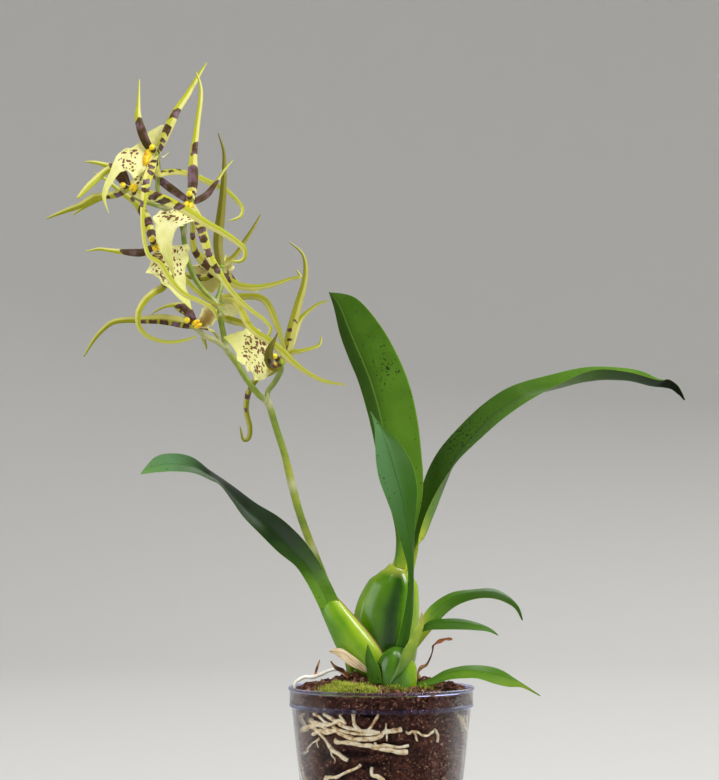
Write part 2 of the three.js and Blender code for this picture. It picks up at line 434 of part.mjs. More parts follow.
const FLOWERS = {
  a: {
    hub: [-146.5, -11, 451],
    cap: [-148, -19.5, 453.8],
    pedicel: [[-139.5, -5, 416, 1.6], [-143.5, -6, 422.5, 1.5], [-145.5, -6, 429.5, 1.5],
      [-145.5, -6, 437.5, 1.5], [-145, -8, 444.5, 1.5], [-146, -10, 449.5, 1.6]],
    tepals: {
      petal_left: [[-147, -12, 452.5, 4], [-151, -19, 455.5, 5.5], [-154.5, -22, 464, 6],
        [-157, -22, 473.5, 4.5], [-157, -20, 482.5, 2.5], [-157, -16, 499, 0.8]],
      dorsal: [[-145.5, -12, 452, 4.5], [-141, -17, 459.5, 5.5], [-136, -18, 470.5, 6],
        [-132.5, -15, 479, 5], [-126, -9, 491, 4], [-120.5, -3, 503, 2.8], [-114.5, 0, 514, 0.8]],
      petal_right: [[-145.5, -10, 450.5, 4], [-144, -2, 451, 4.5], [-142.5, 8, 454.5, 3],
        [-141.5, 18, 457.5, 0.8]],
      lateral_left: [[-147.5, -13, 448, 4.5], [-148.5, -20, 440, 6], [-150.5, -27, 430, 6],
        [-151.5, -31, 418.5, 4.5], [-152.5, -33, 407.5, 2.8], [-151, -35, 391, 2.6],
        [-147.5, -37, 380.5, 2.8], [-140.5, -38, 375.5, 3.5], [-134, -40, 365.5, 4],
        [-126, -41, 356.5, 3.5], [-115.5, -40, 351.5, 3], [-107, -37, 346.5, 2.5],
        [-104, -34, 340, 1]],
      lateral_right: [[-146.5, -12, 450, 4], [-146.5, -13, 444.5, 4.5], [-145.5, -12, 439, 4.5],
        [-143.5, -10.5, 438, 4.5], [-139.5, -5, 440, 4.5], [-131.5, 2, 441.5, 4],
        [-121.5, 9, 439.5, 4], [-112.5, 15, 436.5, 4], [-103.5, 20, 433, 3.5],
        [-96, 22, 426.5, 3], [-92, 22, 420.5, 2.5], [-93.5, 18, 414.5, 2],
        [-100.5, 14, 411, 1]],
    },
    lip: [
      [[-146.5, -15.5, 449.5], [-141, -13, 469], [-149, -15, 466], [-155.5, -18, 458],
        [-161.5, -22, 453], [-166.5, -26, 450.5], [-170.5, -29, 445], [-173.5, -30, 436.5],
        [-177, -31, 428], [-178.5, -31, 419.5], [-174.5, -30, 409]],
      [[-149.5, -16, 444], [-152, -18, 440], [-155, -21, 436.5], [-158.5, -23, 433],
        [-161.5, -25, 435.5], [-164.5, -26, 437.5], [-168, -28, 435], [-171.5, -30, 429.5],
        [-174.5, -31, 423.5], [-176, -31, 417.5], [-174, -30, 409]]],
  },
  b: {
    hub: [-163.5, -14, 427.5],
    cap: [-166.5, -21, 428.8],
    pedicel: [[-139.5, -5, 416, 1.6], [-144, -6, 417.5, 1.5], [-151, -7, 419.5, 1.5],
      [-158, -9, 422, 1.5], [-163, -13, 426.5, 1.6]],
    tepals: {
      petal_left: [[-163.5, -14, 428, 4], [-167.5, -13, 437.5, 6], [-172, -12, 441.5, 5],
        [-181, -10, 444.5, 3], [-187, -9, 446, 2.2], [-193, -8, 446.5, 0.8]],
      dorsal: [[-164, -15, 428, 4], [-169, -17, 435, 6], [-174, -18, 439.5, 5],
        [-177.5, -21, 438, 4.5], [-182, -25, 433, 4.5], [-187.5, -31, 426, 4.2],
        [-193, -38, 417.5, 2]],
      lateral_left: [[-165, -15, 427, 4], [-171.5, -17, 423.5, 5], [-179, -18, 422.5, 4.5],
        [-185.5, -19, 421, 5], [-194, -19, 416, 4], [-204, -18, 412.5, 3], [-216.5, -15, 408, 1]],
      petal_right: [[-165, -13, 427, 4], [-175, -9, 424.5, 4], [-183.5, -6, 422.5, 3.5],
        [-192.5, -4, 418, 2.5], [-201.5, -2, 412.5, 0.8]],
      lateral_right: [[-163, -15, 427, 4], [-155.5, -18, 423.5, 7], [-148.5, -23, 421.5, 7.2],
        [-140.5, -29, 418.5, 6.5], [-130.5, -37, 413, 6], [-121.5, -42, 407.5, 5.5],
        [-111, -44, 400.5, 5], [-99.5, -44, 394, 4.2], [-90, -43, 387.5, 3.6],
        [-86.5, -42, 383, 3], [-87.5, -41, 378, 2.6], [-91.5, -40, 376.5, 2], [-95, -39, 377.5, 1]],
    },
    lip: [
      [[-162, -18, 426.5], [-161.5, -19, 432], [-158.5, -18, 437.5], [-154.5, -14, 442],
        [-151, -8, 444.5]],
      [[-159.5, -18, 426], [-155, -17, 429], [-152, -13, 433.5], [-149.5, -9, 439],
        [-150, -7, 444]]],
  },
  c: {
    hub: [-123, -20, 417.5],
    cap: [-123, -28, 422],
    pedicel: [[-128.5, 0, 400.5, 1.6], [-128, -3, 405.5, 1.4], [-126.5, -9, 411.5, 1.4],
      [-124, -17, 416.5, 1.5]],
    tepals: {
      dorsal: [[-123, -21, 418.5, 5], [-121.5, -21, 428.5, 6.5], [-121.5, -20, 436, 7],
        [-121.5, -19, 445.5, 5.5], [-120.5, -17, 457.5, 4.3], [-119, -14, 473, 3.5],
        [-117.5, -11, 488, 3], [-118, -9, 497.5, 2], [-121, -8, 506, 0.8]],
      petal_left: [[-124, -20, 418.5, 4], [-131.5, -14, 424.5, 5.5], [-138, -7, 430, 6],
        [-144, 0, 435.5, 5.5], [-148.5, 7, 439.5, 4], [-153, 15, 443.5, 2.5],
        [-155.5, 23, 446, 0.8]],
      petal_right: [[-122, -20, 418, 4], [-117, -19, 420, 4.5], [-112.5, -17, 423.5, 4.5],
        [-109, -15, 428.5, 3.5], [-105, -13, 435, 2], [-101.5, -11, 441, 1.6],
        [-96.5, -8, 447.5, 0.8]],
      lateral_left: [[-122.5, -20, 416.5, 4], [-119.5, -20, 409.5, 6.5], [-116.5, -21, 402.5, 6.8],
        [-113.5, -23, 393, 6], [-110, -25, 382, 5.2], [-104.5, -26, 372.5, 4.5],
        [-98, -28, 362, 3.6], [-90.5, -28, 353.5, 3], [-82.5, -27, 346.5, 2.8],
        [-75, -26, 341, 2.4], [-71, -25, 336, 2.2], [-72, -25, 331.5, 1.8], [-75.5, -25, 328.5, 1]],
      lateral_right: [[-122.5, -19, 416.5, 4], [-122, -16.5, 409.5, 3.5], [-122, -13, 400, 3.5],
        [-121.5, -11, 390.5, 4.5], [-116.5, -12, 382, 6], [-108.5, -15, 374.5, 6],
        [-100, -16, 368.5, 5.5], [-91, -16, 364, 5], [-79.5, -14, 363.5, 4], [-68, -12, 366, 3],
        [-58.5, -10, 369.5, 2.2], [-52.5, -9, 371, 2], [-55, -7, 375.5, 1]],
    },
    lip: [
      [[-124, -20.5, 417], [-125.5, -25, 414.5], [-134, -29, 411.5], [-141.5, -32, 410], [-145, -34, 405.5],
        [-144, -35, 399], [-143, -35, 391], [-140.5, -34, 383.5], [-136.5, -33, 375.5],
        [-132, -33, 367]],
      [[-122, -20.5, 417], [-121.5, -24, 413.5], [-118, -26, 410], [-119, -29, 405], [-124, -32, 402],
        [-128.5, -34, 400], [-131.5, -35, 396], [-133, -35, 389], [-132.5, -34, 379.5],
        [-131.5, -33, 367.5]]],
  },
  d: {
    hub: [-145.5, -22, 388.5],
    cap: [-146.8, -29.5, 392.5],
    pedicel: [[-127.5, 0, 386, 1.6], [-135, -8, 386.5, 1.4], [-141, -15, 387.5, 1.4],
      [-144.5, -20, 388.3, 1.5]],
    tepals: {
      dorsal: [[-146, -22, 390, 4.5], [-149, -18, 400, 6], [-151.5, -11, 407, 6.2],
        [-155.5, -3, 414.5, 6], [-161.5, 5, 422.5, 5], [-171, 9, 429.5, 3.5],
        [-180.5, 11, 437.5, 2.2], [-189.5, 12, 443, 0.8]],
      petal_left: [[-146.5, -23, 388.5, 4], [-152.5, -23, 385, 5], [-159, -21, 385, 5],
        [-167, -18, 386, 3.5], [-176, -15, 387.5, 2.5], [-183, -13, 388.5, 2], [-191, -12, 387, 0.8]],
      petal_right: [[-145, -21, 390, 4], [-141, -13, 394.5, 4.5], [-139.5, -5, 396.5, 4],
        [-138.5, 4, 397.5, 2.5], [-138.5, 14, 398, 0.8]],
      lateral_left: [[-145, -21, 387, 4], [-142.5, -18, 379.5, 5.5], [-139, -18, 370.5, 5.5],
        [-140, -21, 363, 5], [-146, -25, 358.5, 4.5], [-151.5, -28, 352.5, 4.2],
        [-155, -30, 344.5, 3.8], [-154, -29, 335.5, 3.2], [-147.5, -27, 329.5, 2.8],
        [-136.5, -23, 327, 2.4], [-126, -20, 328.5, 2], [-118.5, -18, 331.5, 1]],
      lateral_right: [[-144, -20, 387, 4], [-137.5, -15, 380.5, 5], [-131.5, -13, 374, 4.5],
        [-125.5, -13, 367.5, 4], [-119.5, -12, 361.5, 3.2], [-113.5, -10, 356.5, 2.6],
        [-107, -9, 353, 2], [-100.5, -8, 352.5, 1]],
    },
    lip: [
      [[-146.5, -22.5, 388], [-145.5, -26.5, 386], [-147.5, -26.5, 382], [-148, -26, 377.5], [-150, -27, 371.5],
        [-144, -28, 369], [-139.5, -28, 364], [-134.5, -28, 359.5], [-128, -28, 353.5],
        [-121.5, -27, 347.5]],
      [[-144.5, -22.5, 388], [-142, -26, 387.5], [-133, -24, 389], [-125, -22, 390], [-123, -21, 386],
        [-125, -21, 377.5], [-126, -22, 370.5], [-125, -23, 363], [-123, -25, 356],
        [-121, -27, 347.5]]],
  },
  e: {
    hub: [-105.5, 15, 381],
    cap: [-105.5, 23, 385.5],
    pedicel: [[-107.5, 0, 354, 1.8], [-106.5, 3, 359, 1.7], [-105, 8, 365.5, 1.7],
      [-105, 12, 373.5, 1.7], [-105.4, 14, 379, 1.7]],
    tepals: {
      dorsal: [[-105.5, 14, 381.5, 4.5], [-107, 15, 390.5, 5.2], [-107.5, 16, 398.5, 5],
        [-106.5, 16, 409.5, 4.2], [-105, 15, 422.5, 3.6], [-104, 14, 434.5, 3],
        [-103.5, 13, 446.5, 2.2], [-104, 12, 458, 1.7], [-107.5, 10, 469, 0.8]],
      petal_right: [[-104.5, 15.5, 381.5, 3.5], [-100.5, 18, 384.5, 4], [-95, 19, 390.5, 3.5],
        [-90, 19, 398.5, 3], [-84.5, 18, 407, 2.2], [-79.5, 17, 416, 0.8]],
      petal_left: [[-106.5, 15.5, 381.5, 3.5], [-111, 18, 386, 4], [-116.5, 24, 389, 3.5],
        [-121, 33, 391, 2.5], [-125, 42, 393, 0.8]],
      lateral_left: [[-106.5, 15, 380, 4], [-112, 17, 376, 5], [-117, 18.5, 374, 5],
        [-123, 18.5, 374.5, 4.5], [-130, 19, 376, 3.5], [-138, 21, 379, 2.2], [-145, 25, 383, 0.8]],
      lateral_right: [[-104.5, 16, 380, 4], [-101, 20, 376, 5], [-96.5, 24, 372, 4.5],
        [-91.5, 30, 369, 3.5], [-86.5, 38, 368, 2.2], [-82.5, 48, 368, 0.8]],
    },
    lip: [
      [[-107, 20, 379], [-117, 25, 381], [-125.5, 28, 383.5], [-125.5, 31, 376.5],
        [-120, 34, 369], [-113.5, 36, 366]],
      [[-104, 20, 380.5], [-102, 25, 389.5], [-98.5, 30, 386], [-99.5, 32, 379.5],
        [-106, 35, 372], [-112, 36, 366.5]]],
  },
  f: {
    hub: [-105.5, 11, 357.5],
    cap: [-105.5, 19.5, 361.5],
    pedicel: [[-105, 0, 347, 1.6], [-104.5, 5, 351.5, 1.5], [-105.2, 10, 356.5, 1.5]],
    tepals: {
      dorsal: [[-107, 10, 358.5, 4.5], [-101.5, 10, 359.5, 5.5], [-95, 9, 359.8, 5],
        [-88, 7, 360, 4.5], [-80, 3, 359, 4.5], [-74.5, -2, 355, 4.5], [-70, -7, 346, 4.5],
        [-65.5, -13, 334, 3.6], [-63, -16, 325.5, 2.6], [-60, -18, 318.5, 1]],
      lateral_right: [[-104, 9, 357.5, 4], [-99, 5, 357, 4.5], [-94.5, 0, 354.5, 5],
        [-89.5, -12, 346.5, 5], [-85, -24, 338, 4.5], [-79.5, -31, 332, 4.5],
        [-74, -34, 328.5, 4.5], [-69, -36, 325, 5], [-62.5, -37, 319, 5], [-55.5, -37, 312.5, 4],
        [-46.5, -36, 306, 3], [-36, -34, 301, 2.4], [-23, -32, 299, 1]],
      lateral_left: [[-106, 9, 356, 4], [-106, 8, 350, 4.5], [-103.5, 8, 346, 4.5],
        [-99.5, 4, 344.5, 5], [-94.5, -1, 342.5, 5], [-89.5, -6, 340.5, 4], [-85, -9, 337.5, 2.5],
        [-80, -12, 334, 0.8]],
      petal_left: [[-106.5, 12, 357.5, 4], [-110, 18, 355, 4.5], [-112.5, 26, 352, 4],
        [-114, 35, 349, 2.5], [-114, 45, 346.5, 0.8]],
      petal_right: [[-104.5, 12.5, 358, 4], [-102, 21, 361, 4.5], [-100.5, 29, 363.5, 4],
        [-99.5, 38, 364.5, 2.5], [-99, 48, 365, 0.8]],
    },
    lip: [
      [[-106.5, 15, 355.5], [-105, 19, 352], [-103.5, 25, 348.5], [-100.5, 33, 347.5],
        [-98.5, 40, 347.5]],
      [[-103.5, 15, 356.5], [-97, 19, 357.5], [-95.5, 25, 355], [-96.5, 32, 351],
        [-97.5, 40, 348]]],
  },
  g: {
    hub: [-120.5, -14, 338.5],
    cap: [-124.5, -21.5, 341.3],
    pedicel: [[-100.5, 0, 325, 1.8], [-107, -3, 329.5, 1.9], [-114, -7, 332.5, 1.9],
      [-119.8, -12.5, 337.5, 2]],
    tepals: {
      petal_left: [[-120.5, -15, 339.5, 4], [-122.5, -18, 345, 5.5], [-126, -18, 349.5, 5.5],
        [-131, -17, 351.5, 4], [-137, -15, 351.5, 2.2], [-143, -13, 349.5, 1.6],
        [-148, -12, 346.5, 0.8]],
      lateral_left: [[-121, -15, 338, 4], [-127, -17, 340, 7], [-134.5, -17, 341.5, 7],
        [-143.5, -17, 342.5, 6.5], [-152.5, -17, 342, 5], [-163, -17, 342, 4],
        [-172.5, -17, 340.5, 3.5], [-179.5, -16, 335.5, 3], [-185.5, -15, 328.5, 2.4],
        [-191.5, -14, 318.5, 1]],
      petal_right: [[-119.5, -13, 338, 4], [-114, -6, 337.5, 5], [-110, 0, 336.5, 4.5],
        [-108, 8, 335, 3.5], [-107, 16, 333, 2], [-106.5, 24, 331, 0.8]],
      dorsal: [[-121, -13, 339, 4], [-125, -8, 346, 5], [-129, 0, 349.5, 5], [-133, 10, 352.5, 4],
        [-136, 21, 355.5, 2.5], [-138.5, 33, 357.5, 0.8]],
      lateral_right: [[-120, -12, 338, 4], [-118.3, -5, 337.2, 4.5], [-117, 2, 335, 4],
        [-116, 7, 331.5, 3], [-115, 10, 328.5, 2], [-114.5, 12, 325.5, 0.8]],
    },
    lip: [
      [[-120.5, -18, 339], [-116.5, -21, 344], [-114.5, -20, 349.5], [-112, -16, 352],
        [-109.5, -10, 353]],
      [[-118, -17, 336.5], [-110.5, -19, 337], [-106, -18, 342], [-106, -14, 347.5],
        [-108, -9, 352]]],
  },
  h: {
    hub: [-64.5, -9, 314.5],
    cap: [-68.5, -17, 318.5],
    pedicel: [[-74, 2, 290.5, 1.8], [-73.5, 1, 297, 1.7], [-69, -2, 303, 1.8],
      [-65.5, -6, 309, 1.9], [-64.5, -8.5, 313, 2]],
    tepals: {
      dorsal: [[-64.5, -10, 315.5, 4.5], [-61, -8, 322.5, 6], [-59, -7, 332.5, 6.2],
        [-56.5, -6, 343, 5.8], [-53.5, -5, 354.5, 5], [-50.5, -4, 365, 4.2],
        [-49, -3, 376, 3.2], [-51, -3, 386.5, 2], [-59.5, -3, 394.5, 0.8]],
      petal_left: [[-65, -11, 313, 4.5], [-68.5, -20, 311.5, 6], [-71, -30, 315, 7],
        [-71, -39, 321, 6.5], [-68.5, -43, 326.5, 4.5], [-65.5, -44, 331, 2.2],
        [-63, -43, 336, 0.8]],
      petal_right: [[-64, -8, 316, 4], [-59, 0, 327.5, 5], [-56, 4, 337, 4.5],
        [-52.5, 6, 345, 3.4], [-46.5, 6, 351, 2.4], [-40.5, 5, 355, 1.8], [-34, 4, 357, 0.8]],
      lateral_right: [[-64, -9, 315, 4], [-58, -12, 321, 3.8], [-52.5, -14, 322, 3],
        [-46, -14, 323.5, 2.5], [-40, -13, 326, 2], [-38.5, -12, 331.5, 1]],
      lateral_left: [[-65.5, -8, 313.5, 4], [-71, -2, 310, 4.5], [-77, 4, 308, 4.5],
        [-82.5, 10, 304.5, 4], [-87, 14, 297, 3.8], [-88.5, 15, 286, 3.6], [-86, 14, 275, 3.4],
        [-86.5, 12, 267.5, 3], [-90, 11, 266.5, 2.2], [-92, 10, 274.5, 1]],
    },
    lip: [
      [[-68.5, -14.5, 314], [-72.5, -18, 321], [-72.5, -20, 327.5], [-77.5, -18, 333.5],
        [-84, -16, 337.5], [-89.5, -16, 335], [-95.5, -14, 333.5], [-101.5, -12, 331.5]],
      [[-69, -14.5, 310], [-75, -22, 303.5], [-80, -24, 302], [-82.5, -26, 306.5],
        [-87, -26, 311], [-91.5, -24, 315], [-95, -19, 323.5], [-101, -12, 330.5]]],
  },
};

// The flower's centre, with the column standing out of it.
function heart({ hub, cap }, grow = 0) {
  const column = stem([
    [...hub, COLUMN_RADIUS],
    [...vector(hub).lerp(vector(cap), 0.7).toArray(), COLUMN_RADIUS * 0.8],
    [...vector(hub).lerp(vector(cap), 0.85).toArray(), COLUMN_RADIUS],
    [...cap, COLUMN_RADIUS * 0.75]], COLUMN_SIDES, COLUMN_STEPS, grow);
  return ball(hub, HUB_RADIUS + grow).add(column);
}

// Sepals and petals joined at the flower's centre.
function tepals(flower, grow = 0) {
  const options = { thickness: TEPAL_THICKNESS, fold: TEPAL_FOLD, grow };
  return Object.values(flower.tepals).reduce(
    (shape, path) => shape.add(ribbon(path, { ...options, steps: path.length + 1 })),
    heart(flower, grow));
}

function lip(flower) {
  const [left, right] = flower.lip;
  const sheet = blade(left, right, {
    across: 4,
    steps: 12,
    thickness: LIP_THICKNESS,
    fold: LIP_FOLD,
    ruffle: LIP_RUFFLE,
    waves: LIP_WAVES,
  });
  return largest(sheet.subtract(tepals(flower, LEAST_LIFT)));
}

// The rachis with all its pedicels, cut back from the flowers.
function spike() {
  const stalks = Object.values(FLOWERS).map(({ pedicel }) => stem(
    pedicel, PEDICEL_SIDES, pedicel.length + 1));
  const whole = stalks.reduce(
    (shape, stalk) => shape.add(stalk), stem(RACHIS, RACHIS_SIDES, RACHIS_STEPS));
  return largest(Object.values(FLOWERS).reduce(
    (shape, flower) => shape.subtract(tepals(flower, LEAST_LIFT)), whole));
}

// ---- loose roots on the surface --------------------------------------------

const SURFACE_ROOT = [
  [-54.5, -14, 106.5, 1.1], [-52, -15, 110.5, 1.1], [-47.5, -16, 114, 1.1], [-40.5, -17, 114, 1.1],
  [-34, -18, 117, 1.1], [-27, -18, 118.5, 1.1], [-20, -17.5, 119, 1.1], [-14.8, -17.5, 117.5, 1.1]];
const DRY_ROOT = [
  [22.9, -29, 113.5, 0.8], [25.5, -29, 121, 0.8], [29.5, -30, 123.5, 0.8], [31.5, -30, 132, 0.8],
  [33, -29, 136, 0.8], [39.5, -28, 138.5, 0.7], [43.5, -28, 139, 0.7]];

const surfaceRoot = (grow = 0) => stem(SURFACE_ROOT, 6, 14, grow);
const dryRoot = () => stem(DRY_ROOT, 5, 12);

// ---- growing mix and moss --------------------------------------------------

// Low lumps of bark on the crown of the mix, nothing at its edge: broad ones
// some 20 mm apart and lesser ones across them.
function lumps(x, y) {
  const inside = 1 - Math.min(1, Math.hypot(x, y) / LUMP_REACH) ** 4;
  const broad = Math.sin(0.33 * x + 0.8) * Math.cos(0.29 * y);
  const lesser = 0.6 * Math.sin(0.61 * y - 0.4 * x);
  return LUMP_HEIGHT * inside * (broad + lesser);
}

// The mix filling the pot, or a copy of it lifted a little.
function soil(lift = 0) {
  const edge = POT_COLLAR_RADIUS - POT_WALL - CLEARANCE;
  const low = POT_WALL + CLEARANCE;
  const lathe = new THREE.LatheGeometry([
    [0, low], [innerRadius(low) - CLEARANCE, low],
    [innerRadius(POT_SHOULDER_HEIGHT - 1) - CLEARANCE, POT_SHOULDER_HEIGHT - 1],
    [edge, POT_SHOULDER_HEIGHT + 2.6], [edge, SOIL_EDGE_HEIGHT],
    [47, SOIL_EDGE_HEIGHT + 3.5], [34, SOIL_CROWN_HEIGHT - 2.4], [18, SOIL_CROWN_HEIGHT],
    [0, SOIL_CROWN_HEIGHT],
  ].map(([r, z]) => new THREE.Vector2(r, z)), POT_SIDES).rotateX(Math.PI / 2);
  const place = lathe.attributes.position;
  for (let n = 0; n < place.count; n += 1) {
    const [x, y, z] = [place.getX(n), place.getY(n), place.getZ(n)];
    if (z > SOIL_EDGE_HEIGHT + 1) place.setZ(n, z + lumps(x, y));
  }
  return solid(lathe.translate(0, 0, lift));
}

// Thin cushion of moss draped over the mix at the front.
function moss() {
  const cushion = new THREE.SphereGeometry(1, 14, 8).rotateX(Math.PI / 2);
  cushion.scale(...MOSS_HALF_SIZE).rotateZ(MOSS_TURN).translate(...MOSS_CENTRE);
  return largest(solid(cushion).subtract(soil(CLEARANCE)));
}

// ---- the plant in its pot --------------------------------------------------

const grownThrough = [
  roots(LEAST_LIFT), backBulb(LEAST_LIFT), leftBulb(LEAST_LIFT), frontShoot(LEAST_LIFT),
  stem(RACHIS.slice(0, 4), RACHIS_SIDES, 4, LEAST_LIFT), surfaceRoot(LEAST_LIFT)];

piece('pot', 'clearPlastic', pot());
piece('growing_mix', 'bark', largest(
  grownThrough.reduce((bed, shape) => bed.subtract(shape), soil())));
piece('moss', 'moss', moss());
piece('roots', 'root', roots());
piece('root_surface', 'paleRoot', surfaceRoot());
piece('root_dry', 'dryRoot', dryRoot());
piece('bulb_back', 'bulb', backBulb());
piece('bulb_left', 'bulb', leftBulb());
piece('shoot_front', 'bulb', frontShoot());
Object.entries(SHEATHS).forEach(([name, { colour, left, right }]) => {
  piece(name, colour, blade(left, right, sheathOptions));
});
Object.entries(LEAVES).forEach(([name, { left, right, fold }]) => {
  piece(name, 'leaf', blade(left, right, { ...leafOptions, steps: left.length + 3, fold }));
});
piece('flower_spike', 'spike', spike());
Object.entries(FLOWERS).forEach(([letter, flower]) => {
  piece(`flower_${letter}_tepals`, 'tepal', tepals(flower));
  piece(`flower_${letter}_lip`, 'lip', lip(flower));
});

export default plant;
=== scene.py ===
"""Looks of a brassia, a spider orchid, in flower in its clear pot.

Sizes in this script are millimetres, in the frame of the part, and a mesh is turned to metres as it is made.
"""

import bpy
import numpy as np
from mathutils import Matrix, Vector


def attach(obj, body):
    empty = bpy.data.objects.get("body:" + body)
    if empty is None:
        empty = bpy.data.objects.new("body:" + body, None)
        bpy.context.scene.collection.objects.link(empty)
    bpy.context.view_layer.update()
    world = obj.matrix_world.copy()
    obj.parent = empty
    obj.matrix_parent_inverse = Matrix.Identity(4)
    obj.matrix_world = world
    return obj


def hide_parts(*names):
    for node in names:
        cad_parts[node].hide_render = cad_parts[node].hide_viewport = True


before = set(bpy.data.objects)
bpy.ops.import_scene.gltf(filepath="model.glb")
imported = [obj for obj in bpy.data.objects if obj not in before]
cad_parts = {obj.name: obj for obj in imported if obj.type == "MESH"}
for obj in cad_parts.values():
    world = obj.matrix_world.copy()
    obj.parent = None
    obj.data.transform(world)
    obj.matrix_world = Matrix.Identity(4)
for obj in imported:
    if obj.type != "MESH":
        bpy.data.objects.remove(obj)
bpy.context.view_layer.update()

# ---- Pot --------------------------------------------------------------------
# Injection-moulded clear polystyrene with a faint violet cast, 1.2 mm thick. The tapered wall ends in
# a ledge, on which pots stack, an upright collar and a rolled rim. The flat base has drain holes.

MM = 0.001
WALL = 1.2
BASE_RADIUS = 46.9
BASE_BEND = 1.0
BASE_MIDDLE = 20.0
SHOULDER_RADIUS = 57.6
SHOULDER_HEIGHT = 93.5
LEDGE_HEIGHT = SHOULDER_HEIGHT + 2
LEDGE_BEAD = 1.3
COLLAR_RADIUS = 58.9
POT_HEIGHT = 107.0
RIM_BEAD = 1.1
POT_SIDES = 180
DRAIN_HOLES = 6
DRAIN_RADIUS = 4.0
DRAIN_RING = 28.0
DRAIN_SIDES = 32


def outer_radius(z):
    """The tapered wall's outer radius grows evenly from the base to the shoulder."""
    return BASE_RADIUS + (SHOULDER_RADIUS - BASE_RADIUS) * z / SHOULDER_HEIGHT


def inner_radius(z):
    """The wall's inner radius, and above the shoulder the collar's."""
    return np.where(np.asarray(z) < SHOULDER_HEIGHT, outer_radius(np.asarray(z)) - WALL, COLLAR_RADIUS - WALL)


def arc(centre, radius, start, stop, steps=8):
    """Points of a circle's arc between two angles in degrees, as [r, z] rows."""
    angle = np.radians(np.linspace(start, stop, steps + 1))
    return np.stack([centre[0] + radius * np.cos(angle), centre[1] + radius * np.sin(angle)], -1)


def turned(profile, sides):
    """Rings of a profile of [r, z] rows carried round the upright axis."""
    profile = np.asarray(profile, float)
    angle = np.arange(sides) * 2 * np.pi / sides
    rings = np.empty((len(profile), sides, 3))
    rings[..., 0] = profile[:, :1] * np.cos(angle)
    rings[..., 1] = profile[:, :1] * np.sin(angle)
    rings[..., 2] = profile[:, 1:]
    return rings


def skin(rings, **facts):
    """A closed skin over a row of equal rings: quads join neighbouring rings, and each end is a fan of
    triangles to the middle of its ring. A fact is a number for each point. Faces are turned outwards:
    where the sum of the corners' triple products, six times the volume, is negative, all are reversed.
    """
    count, size = rings.shape[:2]
    points = np.vstack([rings.reshape(-1, 3), rings[0].mean(0), rings[-1].mean(0)])
    i, j = np.mgrid[:count - 1, :size]
    a, b = i * size + j, i * size + (j + 1) % size
    quads = np.stack([a, b, b + size, a + size], -1).reshape(-1, 4)
    a, b = np.arange(size), (np.arange(size) + 1) % size
    first = np.stack([b, a, np.full(size, count * size)], -1)
    last = np.stack([a, b, np.full(size, size + 1)], -1) + (count - 1) * size
    last[:, 2] = count * size + 1
    fans = np.vstack([first, last])
    corners = points[np.vstack([quads[:, [0, 1, 2]], quads[:, [0, 2, 3]], fans])]
    if np.einsum('ij,ij->', corners[:, 0], np.cross(corners[:, 1], corners[:, 2])) < 0:
        quads, fans = quads[:, ::-1], fans[:, ::-1]
    spread = {}
    for name, fact in facts.items():
        fact = np.broadcast_to(fact, (count, size))
        spread[name] = np.concatenate([fact.ravel(), [fact[0].mean(), fact[-1].mean()]])
    return points, [quads, fans], spread


def piece(name, skins, material, smooth=True, sharp=None):
    """One object of the plant from several skins, in metres, riding on the part's one body. It replaces
    the CAD node of its name, where there is one."""
    start = 0
    points, faces = [], []
    for skin_points, skin_faces, _ in skins:
        points.append(skin_points)
        for block in skin_faces:
            faces += (block + start).tolist()
        start += len(skin_points)
    mesh = bpy.data.meshes.new(name)
    mesh.from_pydata((np.vstack(points) * MM).tolist(), [], faces)
    for fact in skins[0][2]:
        attribute = mesh.attributes.new(fact, 'FLOAT', 'POINT')
        attribute.data.foreach_set('value', np.concatenate([s[2][fact] for s in skins]).astype(np.float32))
    mesh.polygons.foreach_set('use_smooth', np.full(len(mesh.polygons), smooth))
    if sharp:
        mesh.set_sharp_from_angle(angle=np.radians(sharp))
    mesh.materials.append(material)
    made = bpy.data.objects.new(name, mesh)
    bpy.context.scene.collection.objects.link(made)
    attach(made, "root")
    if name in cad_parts:
        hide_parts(name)
    return made


def linear(code):
    """Linear RGBA of an sRGB hex colour: a channel c becomes ((c + 0.055) / 1.055) ** 2.4."""
    channels = np.array([int(code[k:k + 2], 16) for k in (1, 3, 5)]) / 255
    dark = channels <= 0.04045
    return (*np.where(dark, channels / 12.92, ((channels + 0.055) / 1.055) ** 2.4), 1.0)


def finish(name, **sockets):
    """A new material, with these sockets of its shader set, each to a number or a hex colour."""
    material = bpy.data.materials.new(name)
    material.use_nodes = True
    shader = material.node_tree.nodes['Principled BSDF']
    for socket, value in sockets.items():
        value = linear(value) if isinstance(value, str) else value
        shader.inputs[socket.replace('_', ' ')].default_value = value
    return material


def add(material, kind, inputs=(), output=0, stops=(), to=None, **settings):
    """One node with its settings and its inputs, each a number, a hex colour or another node's output.
    The inputs go by name, or in the node's own order: a range's are the value, from, from, to, to, and
    a mix's are the share, the first colour and the second. A ramp's stops are its colours by place, from
    low to high. The output asked for is returned, and linked to the shader's socket `to`, if one is
    named."""
    tree = material.node_tree
    node = tree.nodes.new('ShaderNode' + kind)
    for name, value in settings.items():
        setattr(node, name, value)
    for name, value in inputs.items() if isinstance(inputs, dict) else enumerate(inputs):
        if isinstance(value, bpy.types.NodeSocket):
            tree.links.new(value, node.inputs[name])
        else:
            node.inputs[name].default_value = linear(value) if isinstance(value, str) else value
    for spot, (place, code) in enumerate(dict(stops).items()):
        ramp = node.color_ramp.elements
        element = ramp[spot] if spot < 2 else ramp.new(place)
        element.position = place
        element.color = linear(code)
    if to:
        tree.links.new(node.outputs[output], tree.nodes['Principled BSDF'].inputs[to])
    return node.outputs[output]


